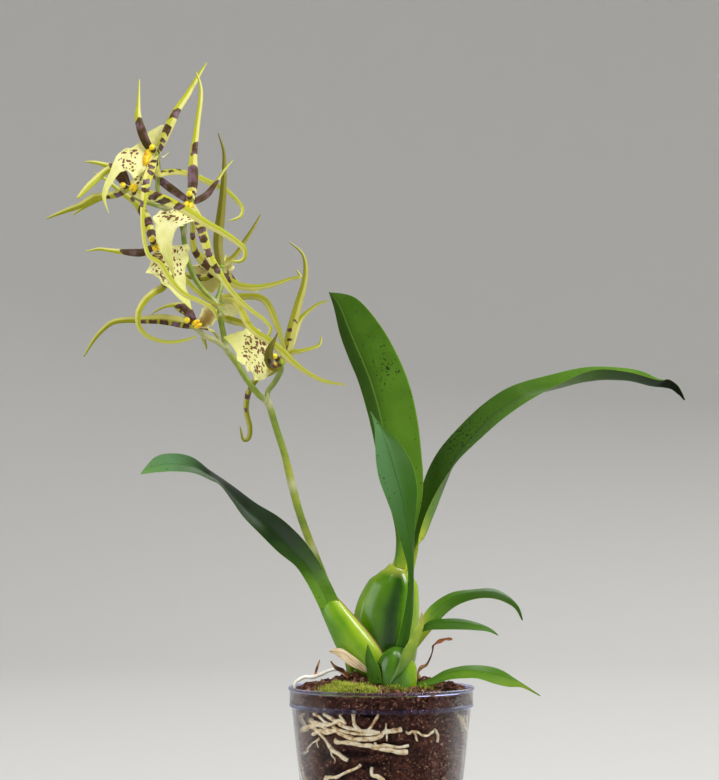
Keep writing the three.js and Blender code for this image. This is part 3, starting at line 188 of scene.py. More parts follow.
# Polystyrene, moulded: clear and glossy. Seen edge-on, and where the ledge and the rim are thick, its
# violet-blue cast deepens. Long flow ripples bend the reflections a little.
clear_plastic = finish('clear moulded polystyrene', Roughness=0.03, IOR=1.45, Transmission_Weight=1.0,
                       Specular_IOR_Level=0.25, Specular_Tint='#8f96e0')
place = add(clear_plastic, 'TexCoord', output='Object')
height = add(clear_plastic, 'SeparateXYZ', {'Vector': place}, output='Z')
ledge = add(clear_plastic, 'Math', [height, LEDGE_HEIGHT * MM], operation='SUBTRACT')
ledge = add(clear_plastic, 'Math', [ledge], operation='ABSOLUTE')
ledge = add(clear_plastic, 'MapRange', [ledge, 1.0 * MM, 1.9 * MM, 1.0, 0.0])
rim = add(clear_plastic, 'MapRange', [height, (POT_HEIGHT - 3.2) * MM, (POT_HEIGHT - 2) * MM])
thick = add(clear_plastic, 'Math', [ledge, rim], operation='MAXIMUM')
edge_on = add(clear_plastic, 'LayerWeight', {'Blend': 0.15}, output='Facing')
deep = add(clear_plastic, 'Math', [thick, 0.4, edge_on], operation='MULTIPLY_ADD', use_clamp=True)
add(clear_plastic, 'ValToRGB', [deep], to='Base Color',
    stops={0.0: '#fbfbfe', 0.5: '#b9c0f2', 1.0: '#8a94e0'})
add(clear_plastic, 'MapRange', [deep, 0.13, 0.55, 0.05, 0.95], to='Alpha')
stretched = add(clear_plastic, 'Mapping', {'Vector': place, 'Scale': (1, 1, 0.25)})
flow = add(clear_plastic, 'TexNoise', {'Vector': stretched, 'Scale': 1 / (9 * MM), 'Detail': 1.5})
add(clear_plastic, 'Bump', {'Height': flow, 'Strength': 0.35, 'Distance': 0.12 * MM}, output='Normal',
    to='Normal')

pot_profile = np.vstack([
    [[BASE_MIDDLE, 0], [BASE_RADIUS - 1.2, 0]],
    arc((BASE_RADIUS - BASE_BEND, BASE_BEND), BASE_BEND, -80, -6, 5),
    [[outer_radius(z), z] for z in (2, 30, 60, SHOULDER_HEIGHT - 0.2)],
    arc((SHOULDER_RADIUS + 0.4, LEDGE_HEIGHT), LEDGE_BEAD, -80, 40, 10),
    [[COLLAR_RADIUS, LEDGE_HEIGHT + 2], [COLLAR_RADIUS, POT_HEIGHT - 2.4]],
    arc((COLLAR_RADIUS - 0.05, POT_HEIGHT - RIM_BEAD), RIM_BEAD, -70, 175, 16),
    [[COLLAR_RADIUS - WALL, POT_HEIGHT - 2], [COLLAR_RADIUS - WALL, LEDGE_HEIGHT + 0.4]],
    [[outer_radius(z) - WALL, z] for z in (SHOULDER_HEIGHT - 0.6, 60, 30, WALL + 0.8)],
    [[BASE_RADIUS - 2 * WALL, WALL], [BASE_MIDDLE, WALL]]])
pot = piece('pot', [skin(turned(pot_profile, POT_SIDES))], clear_plastic, sharp=50)

hole = turned([[DRAIN_RADIUS, -WALL], [DRAIN_RADIUS, 2 * WALL]], DRAIN_SIDES)
turns = np.arange(DRAIN_HOLES) * 2 * np.pi / DRAIN_HOLES
drills = [skin(hole + [DRAIN_RING * np.cos(turn), DRAIN_RING * np.sin(turn), 0]) for turn in turns]
drill = piece('drill', drills, clear_plastic)
cut = pot.modifiers.new('drain holes', 'BOOLEAN')
cut.operation = 'DIFFERENCE'
cut.solver = 'EXACT'
cut.object = drill
drilled = bpy.data.meshes.new_from_object(pot.evaluated_get(bpy.context.evaluated_depsgraph_get()))
pot.modifiers.clear()
pot.data = drilled
bpy.data.objects.remove(drill)

# ---- Roots ------------------------------------------------------------------
# The creeping rhizome carries the bulbs and sends out thick roots, each a thin core in a spongy cream
# velamen that browns where it is old. They run out to the wall and creep along it.

RHIZOME_HEIGHT = 101.0
WALL_GAP = 0.6
ROOT_SIDES = 10
ROOT_STEPS = 100
ROOT_KNOBS = 0.1

# [x, y, z, radius] along the rhizome.
RHIZOME = [[5, 10, RHIZOME_HEIGHT, 4.6], [4, 0, RHIZOME_HEIGHT, 4.9], [7, -14, RHIZOME_HEIGHT, 4.9],
           [10, -34, RHIZOME_HEIGHT, 4.6]]

# [degrees round the pot from the front, height] along the wall, after the radius at its two ends.
ROOT_ROUTES = [
    (1.2, 1.5, [[-68, 81.5], [-54.5, 85], [-45, 85.5], [-39, 82.5], [-33, 83], [-27, 80.5], [-19.5, 78.5],
              [-12.5, 78.5], [-5.5, 79], [-1, 80.5], [1.5, 83], [7, 83.5], [13, 84.5]]),
    (0.9, 0.8, [[-34.5, 85.5], [-28.5, 83.5], [-21, 82], [-14, 81.5], [-8.5, 81.5], [-2.5, 82]]),
    (1.3, 1.6, [[-33.5, 76.5], [-25.5, 76], [-18.5, 75.5], [-13.5, 74.5], [-8.5, 74.5], [-5, 73],
              [-0.5, 72.5], [5, 72], [11, 70.5], [17.5, 70.5]]),
    (0.9, 0.9, [[-4.5, 75], [2, 75], [7.5, 74], [12, 73.5], [18, 74.5]]),
    (1, 0.8, [[-51, 92.5], [-45.5, 91], [-41, 88], [-34.5, 86.5]]),
    (1.1, 1, [[-41.5, 93], [-35.5, 90.5], [-30.5, 88], [-25, 85.5], [-19.5, 84.5], [-14, 83.5],
              [-7, 83.5], [-1.5, 82.5]]),
    (0.9, 0.7, [[-28.5, 92.5], [-26, 90], [-24.5, 87.5]]),
    (1.2, 1, [[-19, 93.5], [-19, 90], [-18, 86.5], [-14.5, 84]]),
    (0.9, 0.8, [[-3, 93], [-5, 89.5], [-7, 86.5], [-9.5, 84]]),
    (1, 1.2, [[-64.5, 81], [-61, 83], [-55, 84], [-49.5, 82], [-45.5, 79.5], [-42, 77], [-39, 73.5],
              [-36, 70.5], [-31, 68.5], [-28, 66.5], [-24.5, 65]]),
    (0.5, 0.35, [[-37, 70.5], [-36.5, 67.5], [-34, 65], [-35, 62.5]]),
    (1.1, 1, [[-45.5, 51.5], [-41.5, 53.5], [-34.5, 54], [-28.5, 56.5], [-22, 59], [-18, 60.5],
              [-15, 62.5]]),
    (1.1, 1.2, [[-7.5, 57.5], [-3, 55.5], [1.5, 53]]),
    (0.8, 0.8, [[17, 82], [20.5, 83], [24, 82.5], [27.5, 80.5], [31.5, 80], [34.5, 81.5], [36.5, 82.5]]),
    (0.8, 0.8, [[39, 82.5], [40.5, 79.5], [40.5, 75.5]]),
    (0.7, 0.7, [[22.5, 81], [24, 77]]),
    (1.1, 1, [[-56, 88], [-49, 87], [-42, 86], [-35, 87], [-29.5, 89.5], [-25.5, 88.5]]),
    (1.2, 0.9, [[-54, 79.5], [-46.5, 82.5], [-41, 81], [-33, 82.5]]),
    (0.5, 0.4, [[-68, 66.5], [-60, 71], [-53.5, 74.5], [-47, 76.5]]),
    (0.5, 0.35, [[-50, 76], [-49.5, 73.5], [-48.5, 71.5]]),
    (0.6, 0.5, [[2.5, 87], [2, 83.5]]),
    (0.6, 0.5, [[3, 81], [3, 77.5]]),
    (0.8, 0.7, [[-67.5, 90.5], [-66.5, 87.5], [-63, 85], [-66.5, 81]]),
    (2.1, 1.8, [[76, 88], [92, 64], [112, 44], [140, 28]]),
    (2.1, 1.8, [[128, 90], [152, 66], [182, 52], [206, 24]]),
    (2.1, 1.8, [[-112, 88], [-132, 62], [-158, 50], [-176, 74]]),
    (2, 1.6, [[-92, 66], [-80, 52], [-72, 44], [-62, 34]]),
    (1.4, 1.1, [[64, 90], [76, 82], [88, 80], [97, 84]]),
    (1.3, 0.9, [[92, 64], [103, 66], [118, 60]]),
    (1.5, 1, [[168, 58], [176, 68], [190, 72]]),
    (1.4, 1, [[-132, 62], [-120, 56], [-106, 57]]),
]


def spline(rows, steps):
    """Uniform Catmull-Rom curve through rows of numbers, at steps + 1 even places of its parameter."""
    rows = np.asarray(rows, float)
    last = len(rows) - 1
    place = np.linspace(0, last, steps + 1)
    k = np.minimum(place.astype(int), last - 1)
    t = (place - k)[:, None]
    a, b, c, d = (rows[np.clip(k + n, 0, last)] for n in (-1, 0, 1, 2))
    return 0.5 * (2 * b + (c - a) * t + (2 * a - 5 * b + 4 * c - d) * t ** 2
                  + (3 * b - 3 * c + d - a) * t ** 3)


def unit(vectors):
    """Vectors scaled to length one."""
    return vectors / np.linalg.norm(vectors, axis=-1, keepdims=True)


def ripple(points, size, seed):
    """Smooth noise of spread one: the sum of sixteen sine waves of about that length in all directions."""
    waves = np.random.default_rng(seed)
    ways = unit(waves.normal(size=(16, 3))) / (size * waves.uniform(0.7, 1.5, (16, 1)))
    phases = waves.uniform(0, 2 * np.pi, 16)
    return np.sin(2 * np.pi * points @ ways.T + phases).sum(-1) / np.sqrt(8)


def stem(rows, sides, steps, front=(0, -1, 0), knobs=0.0, seed=0):
    """Rings of an oval section carried along [x, y, z, half width, half depth] rows, or of a round one
    along [x, y, z, radius] rows. The section's width lies square to the path and to `front`. Knobs
    swell and pinch it by that share."""
    rows = spline([[*row, row[3]] if len(row) == 4 else row for row in rows], steps)
    centres = rows[:, :3]
    ahead = unit(np.gradient(centres, axis=0))
    side = unit(np.cross(ahead, front))
    up = np.cross(side, ahead)
    angle = np.arange(sides) * 2 * np.pi / sides
    swell = 1 + knobs * ripple(centres, 5, seed)[:, None, None]
    ring = (rows[:, 3, None, None] * side[:, None] * np.cos(angle)[:, None]
            + rows[:, 4, None, None] * up[:, None] * np.sin(angle)[:, None])
    return centres[:, None] + ring * swell


def along(rings):
    """Distance of each ring's centre from the first, along their row, as a column."""
    steps = np.linalg.norm(np.diff(rings.mean(1), axis=0), axis=1)
    return np.concatenate([[0], np.cumsum(steps)])[:, None]


def wall_root(start, end, route, steps=70):
    """A root's path, as [x, y, z, radius] rows, from the rhizome out to the wall at the first [degrees,
    height] of its route, then along the wall. Its radius goes evenly from start to end."""
    degrees, z = route[0]
    rows = spline([[degrees, RHIZOME_HEIGHT, 0.12], [degrees, 0.3 * RHIZOME_HEIGHT + 0.7 * z, 0.7]]
                  + [[*spot, 1] for spot in route], steps)
    radius = np.linspace(start, end, steps + 1)
    turn = np.radians(rows[:, 0])
    reach = np.minimum(rows[:, 2], 1) * (inner_radius(rows[:, 1]) - WALL_GAP - radius)
    return np.stack([reach * np.sin(turn), -reach * np.cos(turn), rows[:, 1], radius], -1)


# Velamen: dry and chalky, cream where it is sound, tan and brown in blotches and along old scars.
velamen = finish('root velamen', Roughness=0.75)
place = add(velamen, 'TexCoord', output='Object')
blotch = add(velamen, 'TexNoise', {'Vector': place, 'Scale': 1 / (3.5 * MM), 'Detail': 6, 'Roughness': 0.65})
add(velamen, 'ValToRGB', [blotch], to='Base Color',
    stops={0.3: '#7a4f2b', 0.4: '#c9a26c', 0.5: '#ecdcb6', 0.66: '#fbf3dc'})
pits = add(velamen, 'TexNoise', {'Vector': place, 'Scale': 1 / (0.7 * MM), 'Detail': 3})
add(velamen, 'Bump', {'Height': pits, 'Strength': 0.6, 'Distance': 0.15 * MM}, output='Normal', to='Normal')

wall_paths = [wall_root(*route) for route in ROOT_ROUTES]
rhizome = stem(RHIZOME, 20, 40, front=(0, 0, 1), knobs=0.04, seed=3)
root_rings = [stem(path, ROOT_SIDES, ROOT_STEPS, front=(0, 0, 1), knobs=ROOT_KNOBS, seed=seed)
              for seed, path in enumerate(wall_paths)]
piece('roots', [skin(rings) for rings in [rhizome, *root_rings]], velamen)

# ---- Growing mix ------------------------------------------------------------
# Composted bark and coir pressed into the pot: red-brown crumbs and short chips in a matrix that is
# painted nearly black in its hollows, as shade, with loose coir fibres on top.

chance = np.random.default_rng(12)
MIX_GAP = 0.5
MIX_EDGE = 103.0
MIX_RADIUS = 57.2
MIX_SIDES = 260
MIX_ROWS = 180
TOP_LIMIT = 56.0
SIDE_CRUMBS = 16000
SIDE_CRUMB_SIZES = (0.45, 1.5)
SIDE_CRUMB_DEPTHS = (0.9, 2.2)
TOP_CRUMBS = 6500
TOP_CRUMB_SIZES = (0.7, 3.2)
CORNER_JOG = 0.22
FIBRES = 420
FIBRE_RADIUS = 0.13
FIBRE_LENGTHS = (4, 13)

# The mound's height by distance from the middle, and how high the lumps and the heap rise on it.
MOUND = ([0, 18, 34, 47, MIX_RADIUS], [111.5, 111.5, 109.1, 107, 103.5])
LUMP_RISE = 1.4
HEAP_RISE = 6.0

# How deep the mix stands back at a hollow and beside a root, and how far from a root it does.
HOLLOW_DEPTH = 3.0
ROOT_BAY = 4.2
ROOT_REACH = 3.2

# Hollows at the wall, which stand back and are painted darker as shade: [degrees round from the front,
# height, half width in degrees, half height].
VOIDS = [(5, 74.5, 8, 2.6), (-20, 69, 14, 2.4), (-34, 57, 12, 4), (-8, 62, 9, 3), (-44, 66, 5, 3),
         (-8, 93, 7, 1.6), (100, 60, 9, 4), (170, 45, 12, 4), (-120, 70, 9, 4)]


def crown(x, y):
    """Height of the mix's top: a low mound with gentle lumps that fade out towards the collar, and a heap
    at the left bulb's foot."""
    radius = np.hypot(x, y)
    mound = np.interp(radius, *MOUND)
    inside = 1 - np.minimum(1, radius / 52) ** 4
    lumps = np.sin(0.33 * x + 0.8) * np.cos(0.29 * y) + 0.6 * np.sin(0.61 * y - 0.4 * x)
    heap = HEAP_RISE * np.exp(-((x + 14) / 13) ** 2 - ((y + 13) / 9) ** 2)
    return mound + LUMP_RISE * inside * lumps + heap


def bell(distance, width):
    """One at no distance, 0.37 at the width and nothing past twice the width."""
    return np.exp(-(distance / width) ** 2)


def root_nearness(points):
    """One beside a root that runs along the wall, falling to nothing some 6 mm away from it."""
    line = np.vstack([path[::3, :3] for path in wall_paths])
    line = line[np.hypot(line[:, 0], line[:, 1]) > 40]
    flat = points.reshape(-1, 3)
    nearest = np.concatenate([
        np.sqrt(((block[:, None] - line) ** 2).sum(-1).min(1)) for block in np.array_split(flat, 60)])
    return bell(nearest, ROOT_REACH).reshape(points.shape[:-1])


def voids(points):
    """One in the middle of a hollow in the mix, falling to nothing past its half width and half height."""
    degrees = np.degrees(np.arctan2(points[..., 0], -points[..., 1]))
    spots = [((degrees - turn) / wide) ** 2 + ((points[..., 2] - z) / high) ** 2
             for turn, z, wide, high in VOIDS]
    return bell(np.min(spots, 0), 1)


def crumbs(centres, low, high, flatness):
    """Loose crumbs: unit cubes with their corners jogged, each stretched, turned at random and sized
    from low to high, most of them small. Flatness is the least share of a crumb's thickness."""
    count = len(centres)
    cube = np.array([[x, y, z] for x in (-1, 1) for y in (-1, 1) for z in (-1, 1)]) * 0.5
    corners = cube + chance.uniform(-CORNER_JOG, CORNER_JOG, (count, 8, 3))
    corners *= chance.uniform((0.6, 0.5, flatness), (1.5, 1.0, 2 * flatness), (count, 3))[:, None]
    turns, _ = np.linalg.qr(chance.normal(size=(count, 3, 3)))
    sizes = low + (high - low) * chance.uniform(size=count) ** 3
    points = centres[:, None] + sizes[:, None, None] * corners @ turns
    quads = np.array([[0, 1, 3, 2], [4, 6, 7, 5], [0, 4, 5, 1], [2, 3, 7, 6], [0, 2, 6, 4], [1, 5, 7, 3]])
    mirrored = np.linalg.det(turns) < 0
    quads = np.where(mirrored[:, None, None], quads[:, ::-1], quads)
    faces = quads + np.arange(count)[:, None, None] * 8
    shade = np.repeat(chance.uniform(size=count), 8)
    return points.reshape(-1, 3), [faces.reshape(-1, 4)], {'shade': shade}


def disc(radius, count):
    """Random places spread evenly over a disc, as x and y."""
    away = radius * np.sqrt(chance.uniform(0, 1, count))
    angle = chance.uniform(0, 2 * np.pi, count)
    return away * np.cos(angle), away * np.sin(angle)


# Composted bark: matt and fibrous, red-brown with darker and paler crumbs.
bark = finish('composted bark', Roughness=0.92, Specular_IOR_Level=0.25)
place = add(bark, 'TexCoord', output='Object')
shade = add(bark, 'Attribute', output='Fac', attribute_name='shade')
grain = add(bark, 'TexNoise', {'Vector': place, 'Scale': 1 / (1.1 * MM), 'Detail': 8, 'Roughness': 0.8})
drift = add(bark, 'TexNoise', {'Vector': place, 'Scale': 1 / (16 * MM), 'Detail': 3})
mixed = add(bark, 'Math', [shade, 0.5, grain], operation='MULTIPLY_ADD')
mixed = add(bark, 'Math', [drift, 0.3, mixed], operation='MULTIPLY_ADD')
mixed = add(bark, 'Math', [mixed, 0.15], operation='SUBTRACT')
add(bark, 'ValToRGB', [mixed], to='Base Color',
    stops={0.4: '#120704', 0.55: '#3c2017', 0.72: '#633c2d', 0.88: '#7d5340', 1.0: '#a58068'})
fibre = add(bark, 'TexNoise', {'Vector': place, 'Scale': 1 / (0.6 * MM), 'Detail': 4})
add(bark, 'Bump', {'Height': fibre, 'Strength': 0.7, 'Distance': 0.3 * MM}, output='Normal', to='Normal')

# The mix's outline from the middle of its base up its side and in over its top, then evened out.
profile = np.array([[0.5, WALL + 0.4], [inner_radius(2) - MIX_GAP, WALL + 0.4],
                    [inner_radius(92.5) - MIX_GAP, 92.5], [MIX_RADIUS, 96.3], [MIX_RADIUS, 103.4],
                    [47, 107], [34, 109.1], [18, 111.5], [0.5, 111.5]])
reach = np.concatenate([[0], np.cumsum(np.linalg.norm(np.diff(profile, axis=0), axis=1))])
places = np.linspace(0, reach[-1], MIX_ROWS)
profile = np.stack([np.interp(places, reach, profile[:, k]) for k in (0, 1)], -1)
bed = turned(profile, MIX_SIDES)
on_top = (profile[:, 1] > MIX_EDGE)[:, None]
on_side = ((profile[:, 1] > 2) & (profile[:, 1] <= MIX_EDGE))[:, None]
# The side stands back from the wall in waves, more at the hollows and in a bay round each root.
hollow = np.clip(1.5 + 0.6 * ripple(bed, 14, 5) + 0.6 * ripple(bed, 4, 6), 0.3, 3.2)
hollow = np.maximum(hollow + HOLLOW_DEPTH * voids(bed), ROOT_BAY * root_nearness(bed)) * on_side
bed[..., :2] *= (1 - hollow / np.maximum(profile[:, :1], 30))[..., None]
bed[..., 2] = np.where(on_top, crown(bed[..., 0], bed[..., 1]) - 0.6 + 0.45 * ripple(bed, 4, 7),
                       bed[..., 2])
# Painted shade: the mix is darker in the hollows.
mix = skin(bed, shade=0.1 + 0.15 * np.clip(ripple(bed, 3, 8), -1, 2) - 0.3 * voids(bed))
piece('growing_mix', [mix], bark)

angle = chance.uniform(0, 2 * np.pi, SIDE_CRUMBS)
height = chance.uniform(3, 102.5, SIDE_CRUMBS)
depth = chance.uniform(*SIDE_CRUMB_DEPTHS, SIDE_CRUMBS)
radius = inner_radius(height) - np.where(np.abs(height - SHOULDER_HEIGHT) < 4, 2.2, depth)
centres = np.stack([radius * np.cos(angle), radius * np.sin(angle), height], -1)
centres = centres[(root_nearness(centres) < 0.3) & (voids(centres) < 0.3)]
piece('mix_crumbs_side', [crumbs(centres, *SIDE_CRUMB_SIZES, 0.5)], bark, smooth=False)

x, y = disc(MIX_RADIUS - 1, TOP_CRUMBS)
centres = np.stack([x, y, crown(x, y) - 0.2 + chance.uniform(-0.3, 0.5, TOP_CRUMBS)], -1)
piece('mix_crumbs_top', [crumbs(centres, *TOP_CRUMB_SIZES, 0.4)], bark, smooth=False)

# Coir fibre: pale brown, hair-thin and springy. Each strand bends evenly and bows up in its middle.
coir = finish('coir fibre', Base_Color='#7d5233', Roughness=0.8)
foot_x, foot_y = disc(55, FIBRES)
heading = chance.uniform(0, 2 * np.pi, FIBRES)
length = chance.uniform(*FIBRE_LENGTHS, FIBRES)
strands = []
for k in range(FIBRES):
    t = np.linspace(-0.5, 0.5, 6)
    bend = heading[k] + chance.normal(0, 1.2) * t
    x = foot_x[k] + length[k] * t * np.cos(bend)
    y = foot_y[k] + length[k] * t * np.sin(bend)
    pull = np.minimum(1, TOP_LIMIT / np.hypot(x, y))
    z = crown(x * pull, y * pull) + 0.5 + chance.uniform(0, 1.8) * (1 - 4 * t ** 2)
    strand = np.stack([x * pull, y * pull, z, FIBRE_RADIUS + 0 * t], -1)
    strands.append(skin(stem(strand, 3, 8, front=(0, 0, 1))))
piece('coir_fibres', strands, coir)

# ---- Moss -------------------------------------------------------------------
# A cushion of short yellow-green moss at the front left, and wisps beside the front shoot. Each moss
# shoot is a tiny three-sided spike that leans its own way.

MOSS_LENGTHS = (1.2, 4.2)
MOSS_GIRTHS = (0.25, 0.5)
MOSS_RISE = 1.2

# [x, y, half width, half depth, shoots] of each patch.
MOSS_PATCHES = [(-24, -38, 15, 9, 2900), (-30, -29, 9, 5, 700), (-8, -46, 8, 5, 900),
                (28, -31, 5, 6, 420), (9, -44, 9, 3, 160)]

# Moss: soft and matt, yellow-green at its tips and darker down in the cushion.
moss_green = finish('moss', Roughness=0.9, Specular_IOR_Level=0.2)
tip = add(moss_green, 'Attribute', output='Fac', attribute_name='share')
add(moss_green, 'ValToRGB', [tip], to='Base Color', stops={0.0: '#1c2408', 0.5: '#87972a', 1.0: '#eae56a'})

cushion = []
for x0, y0, wide, deep, count in MOSS_PATCHES:
    spot = chance.normal(0, 0.5, (count, 2)) * [wide, deep] + [x0, y0]
    spot = spot[np.hypot(*spot.T) < TOP_LIMIT]
    count = len(spot)
    rise = MOSS_RISE * np.exp(-(((spot - [x0, y0]) / [wide, deep]) ** 2).sum(-1) * 2)
    rise = rise * (1 + 0.8 * ripple(np.column_stack([spot, 0 * spot[:, 0]]), 6, 10))
    foot = np.column_stack([spot, crown(*spot.T) - 0.4 + rise])
    lean = chance.normal(0, 0.6, (count, 3)) * [1, 1, 0.2] + [0, 0, 1]
    tips = foot + unit(lean) * chance.uniform(*MOSS_LENGTHS, count)[:, None]
    turn = chance.uniform(0, 2 * np.pi, count)[:, None] + np.arange(3) * 2 * np.pi / 3
    girth = chance.uniform(*MOSS_GIRTHS, count)[:, None]
    base = foot[:, None] + np.stack([girth * np.cos(turn), girth * np.sin(turn), 0 * turn], -1)
    points = np.concatenate([base, tips[:, None]], 1).reshape(-1, 3)
    faces = np.array([[0, 1, 3], [1, 2, 3], [2, 0, 3], [2, 1, 0]]) + np.arange(count)[:, None, None] * 4
    shade = np.tile([0.1, 0.1, 0.1, 1.0], count) * np.repeat(chance.uniform(0.45, 1, count), 4)
    cushion.append((points, [faces.reshape(-1, 3)], {'share': shade}))
piece('moss', cushion, moss_green)

# ---- Loose roots ------------------------------------------------------------
# A young root lies over the mix at the left, white and smooth. A dead one stands up at the right,
# shrivelled to its brown core, with an orange-brown end.

# [x, y, z, radius] along each.
SURFACE_ROOT = [[-55.5, -13.5, 107, 0.9], [-54.5, -14, 110.5, 1.15], [-52, -14.5, 112.5, 1.2],
                [-48.5, -15, 114, 1.1], [-43.5, -16, 114, 1.2], [-38, -16.5, 116, 1.15],
                [-33.5, -17, 118, 1.1], [-28.5, -17.5, 119, 1.1], [-25, -17.5, 117, 1],
                [-21.5, -17, 114, 0.8], [-20, -16.5, 112, 0.5]]
DRY_ROOT = [[23.5, -29, 114, 1.2], [23, -29, 118, 0.8], [25, -29, 121, 1.5], [28, -29.5, 122.5, 1],
            [30.5, -30, 127, 0.5], [32, -30, 131.5, 0.5], [32.5, -29, 134.5, 0.9],
            [36, -28.5, 137, 1.1], [40.5, -28, 138.5, 1], [44.5, -28, 138.5, 0.5]]

# Young velamen: chalk-white, with faint cream clouds.
young_velamen = finish('young root velamen', Roughness=0.6)
place = add(young_velamen, 'TexCoord', output='Object')
cloud = add(young_velamen, 'TexNoise', {'Vector': place, 'Scale': 1 / (4 * MM), 'Detail': 4})
add(young_velamen, 'ValToRGB', [cloud], to='Base Color', stops={0.3: '#ece2c6', 0.6: '#fffdf6'})
add(young_velamen, 'Bump', {'Height': cloud, 'Strength': 0.4, 'Distance': 0.2 * MM}, output='Normal',
    to='Normal')

# Dead root: wiry, tan at its foot, dark brown up its middle and orange-brown at its end.
dead_root = finish('dead root', Roughness=0.8)
far = add(dead_root, 'Attribute', output='Fac', attribute_name='share')
add(dead_root, 'ValToRGB', [far], to='Base Color',
    stops={0.0: '#8f6c46', 0.22: '#9a7048', 0.4: '#4a2417', 0.62: '#5c2d1c', 0.72: '#b5673c',
           1.0: '#c9824f'})

young = stem(SURFACE_ROOT, 14, 120, knobs=0.08, seed=31)
piece('root_surface', [skin(young)], young_velamen)
dead = stem(DRY_ROOT, 9, 90, knobs=0.22, seed=32)
piece('root_dry', [skin(dead, share=along(dead) / along(dead).max())], dead_root)

# ---- Bulbs ------------------------------------------------------------------
# Swollen pseudobulbs that hold water: a large flattened one behind, a slimmer one leaning left and a
# short leafy shoot in front. Their skin is hard, glossy and faintly ribbed lengthwise.

BULB_SIDES = 120
BULB_STEPS = 90
RIB_RELIEF = 0.008

# [place, width] in radians round a bulb, from its right towards its front: the crest and the groove
# beside it, the painted shade in the groove, and the painted light on the left side.
CREST = (1.1, 0.17)
GROOVE = (1.5, 0.27)
GROOVE_SHADE = (1.42, 0.26)
WEST_LIGHT = (2.7, 0.6)

# [x, y, z, half width, half depth] up each one.
BACK_BULB = [[4.5, 5, 106.4, 12, 9], [4, 5, 113, 16, 12], [3.2, 5, 124, 19.2, 14],
             [3, 5, 138, 21, 14.5], [3.2, 5, 147, 21.2, 14.3], [4.6, 5, 156, 20.4, 13.5],
             [7, 5, 165.5, 18.2, 12], [9.3, 5, 173, 15.2, 10], [10.5, 5, 178.6, 10.8, 7.4],
             [11.1, 5, 181.4, 7.6, 5.4], [12, 5, 183.2, 5.4, 3.8], [12.6, 5.4, 186, 4.7, 2.6],
             [12.9, 5.8, 189, 4.2, 1]]
LEFT_BULB = [[-0.5, -14, 106.4, 4, 3.6], [-1.2, -15, 112, 5.6, 4.6], [-3.4, -16, 118.6, 8, 5.4],
             [-8.6, -16.5, 125, 10.6, 6], [-13.8, -16.2, 131, 11.4, 6.4],
             [-18.6, -15.5, 137.4, 11.2, 6.4], [-23.6, -14.7, 145, 10, 6],
             [-28.4, -13.6, 152.4, 8.5, 4.9], [-32.4, -12.8, 158.8, 7.2, 3],
             [-33.8, -12.6, 161.4, 6.6, 1.4]]
FRONT_SHOOT = [[9.2, -30, 106.4, 12, 8.5], [9.2, -30, 112, 12.9, 8.6], [9.2, -30, 118, 12.9, 8.4],
               [9.4, -29.4, 122.6, 12.1, 8], [9.8, -28.6, 126.6, 10, 7], [10.8, -27.8, 129.6, 6.8, 5.4],
               [12.4, -26.8, 132, 3.2, 2.6]]


def bulb(rows, ribs, tone, crest=0.0, neck=0.0, dried=0.0, painted_groove_shade=0.14, painted_west_light=0.0):
    """A bulb's skin: its stem section, with shallow lengthwise ribs and one crest with a groove beside it
    at the front right. Its tone carries painted light and shade: it rises towards the lit right side, falls
    in the groove by the given amount as painted shade, and rises by the given amount at the front left as
    painted light. The skin also says how far up and round the bulb each point is."""
    rings = stem(rows, BULB_SIDES, BULB_STEPS)
    centre = rings.mean(1, keepdims=True)
    angle = np.arange(BULB_SIDES) * 2 * np.pi / BULB_SIDES
    crest_bell, groove_bell, shade_bell, west_bell = (
        bell(angle - place, width) for place, width in (CREST, GROOVE, GROOVE_SHADE, WEST_LIGHT))
    rise = along(rings) / along(rings).max()
    crease = crest_bell - 0.9 * groove_bell
    swell = RIB_RELIEF * np.cos(ribs * angle) + crest * crease * np.sin(np.pi * rise)
    rings = centre + (rings - centre) * (1 + swell[..., None])
    # Painted light and shade: lighter towards the lit right, painted shade in the groove, painted light at
    # the front left.
    painted_light = 0.22 * np.cos(angle) + 0.1 * np.cos(angle) ** 4
    painted_light = painted_light - painted_groove_shade * shade_bell + painted_west_light * west_bell
    return skin(rings, share=rise, round=np.cos(angle)[None], tone=tone + painted_light[None], neck=neck,
                dried=dried)


# Pseudobulb skin: waxy and glossy, mid green, painted yellower up the lit right side as painted light,
# fine lengthwise lines.
bulb_skin = finish('pseudobulb skin', Roughness=0.22, Specular_IOR_Level=0.5, Subsurface_Weight=0.1,
                   Subsurface_Radius=(0.8, 1.0, 0.2), Subsurface_Scale=2 * MM)
place = add(bulb_skin, 'TexCoord', output='Object')
rise, tone, side, pale_neck, dried = (
    add(bulb_skin, 'Attribute', output='Fac', attribute_name=fact)
    for fact in ('share', 'tone', 'round', 'neck', 'dried'))
cloud = add(bulb_skin, 'TexNoise', {'Vector': place, 'Scale': 1 / (14 * MM), 'Detail': 5})
light = add(bulb_skin, 'Math', [cloud, 0.35, tone], operation='MULTIPLY_ADD')
green = add(bulb_skin, 'ValToRGB', [light],
            stops={0.0: '#123803', 0.14: '#2a5503', 0.38: '#568a08', 0.68: '#93b31c', 1.0: '#cfd455'})
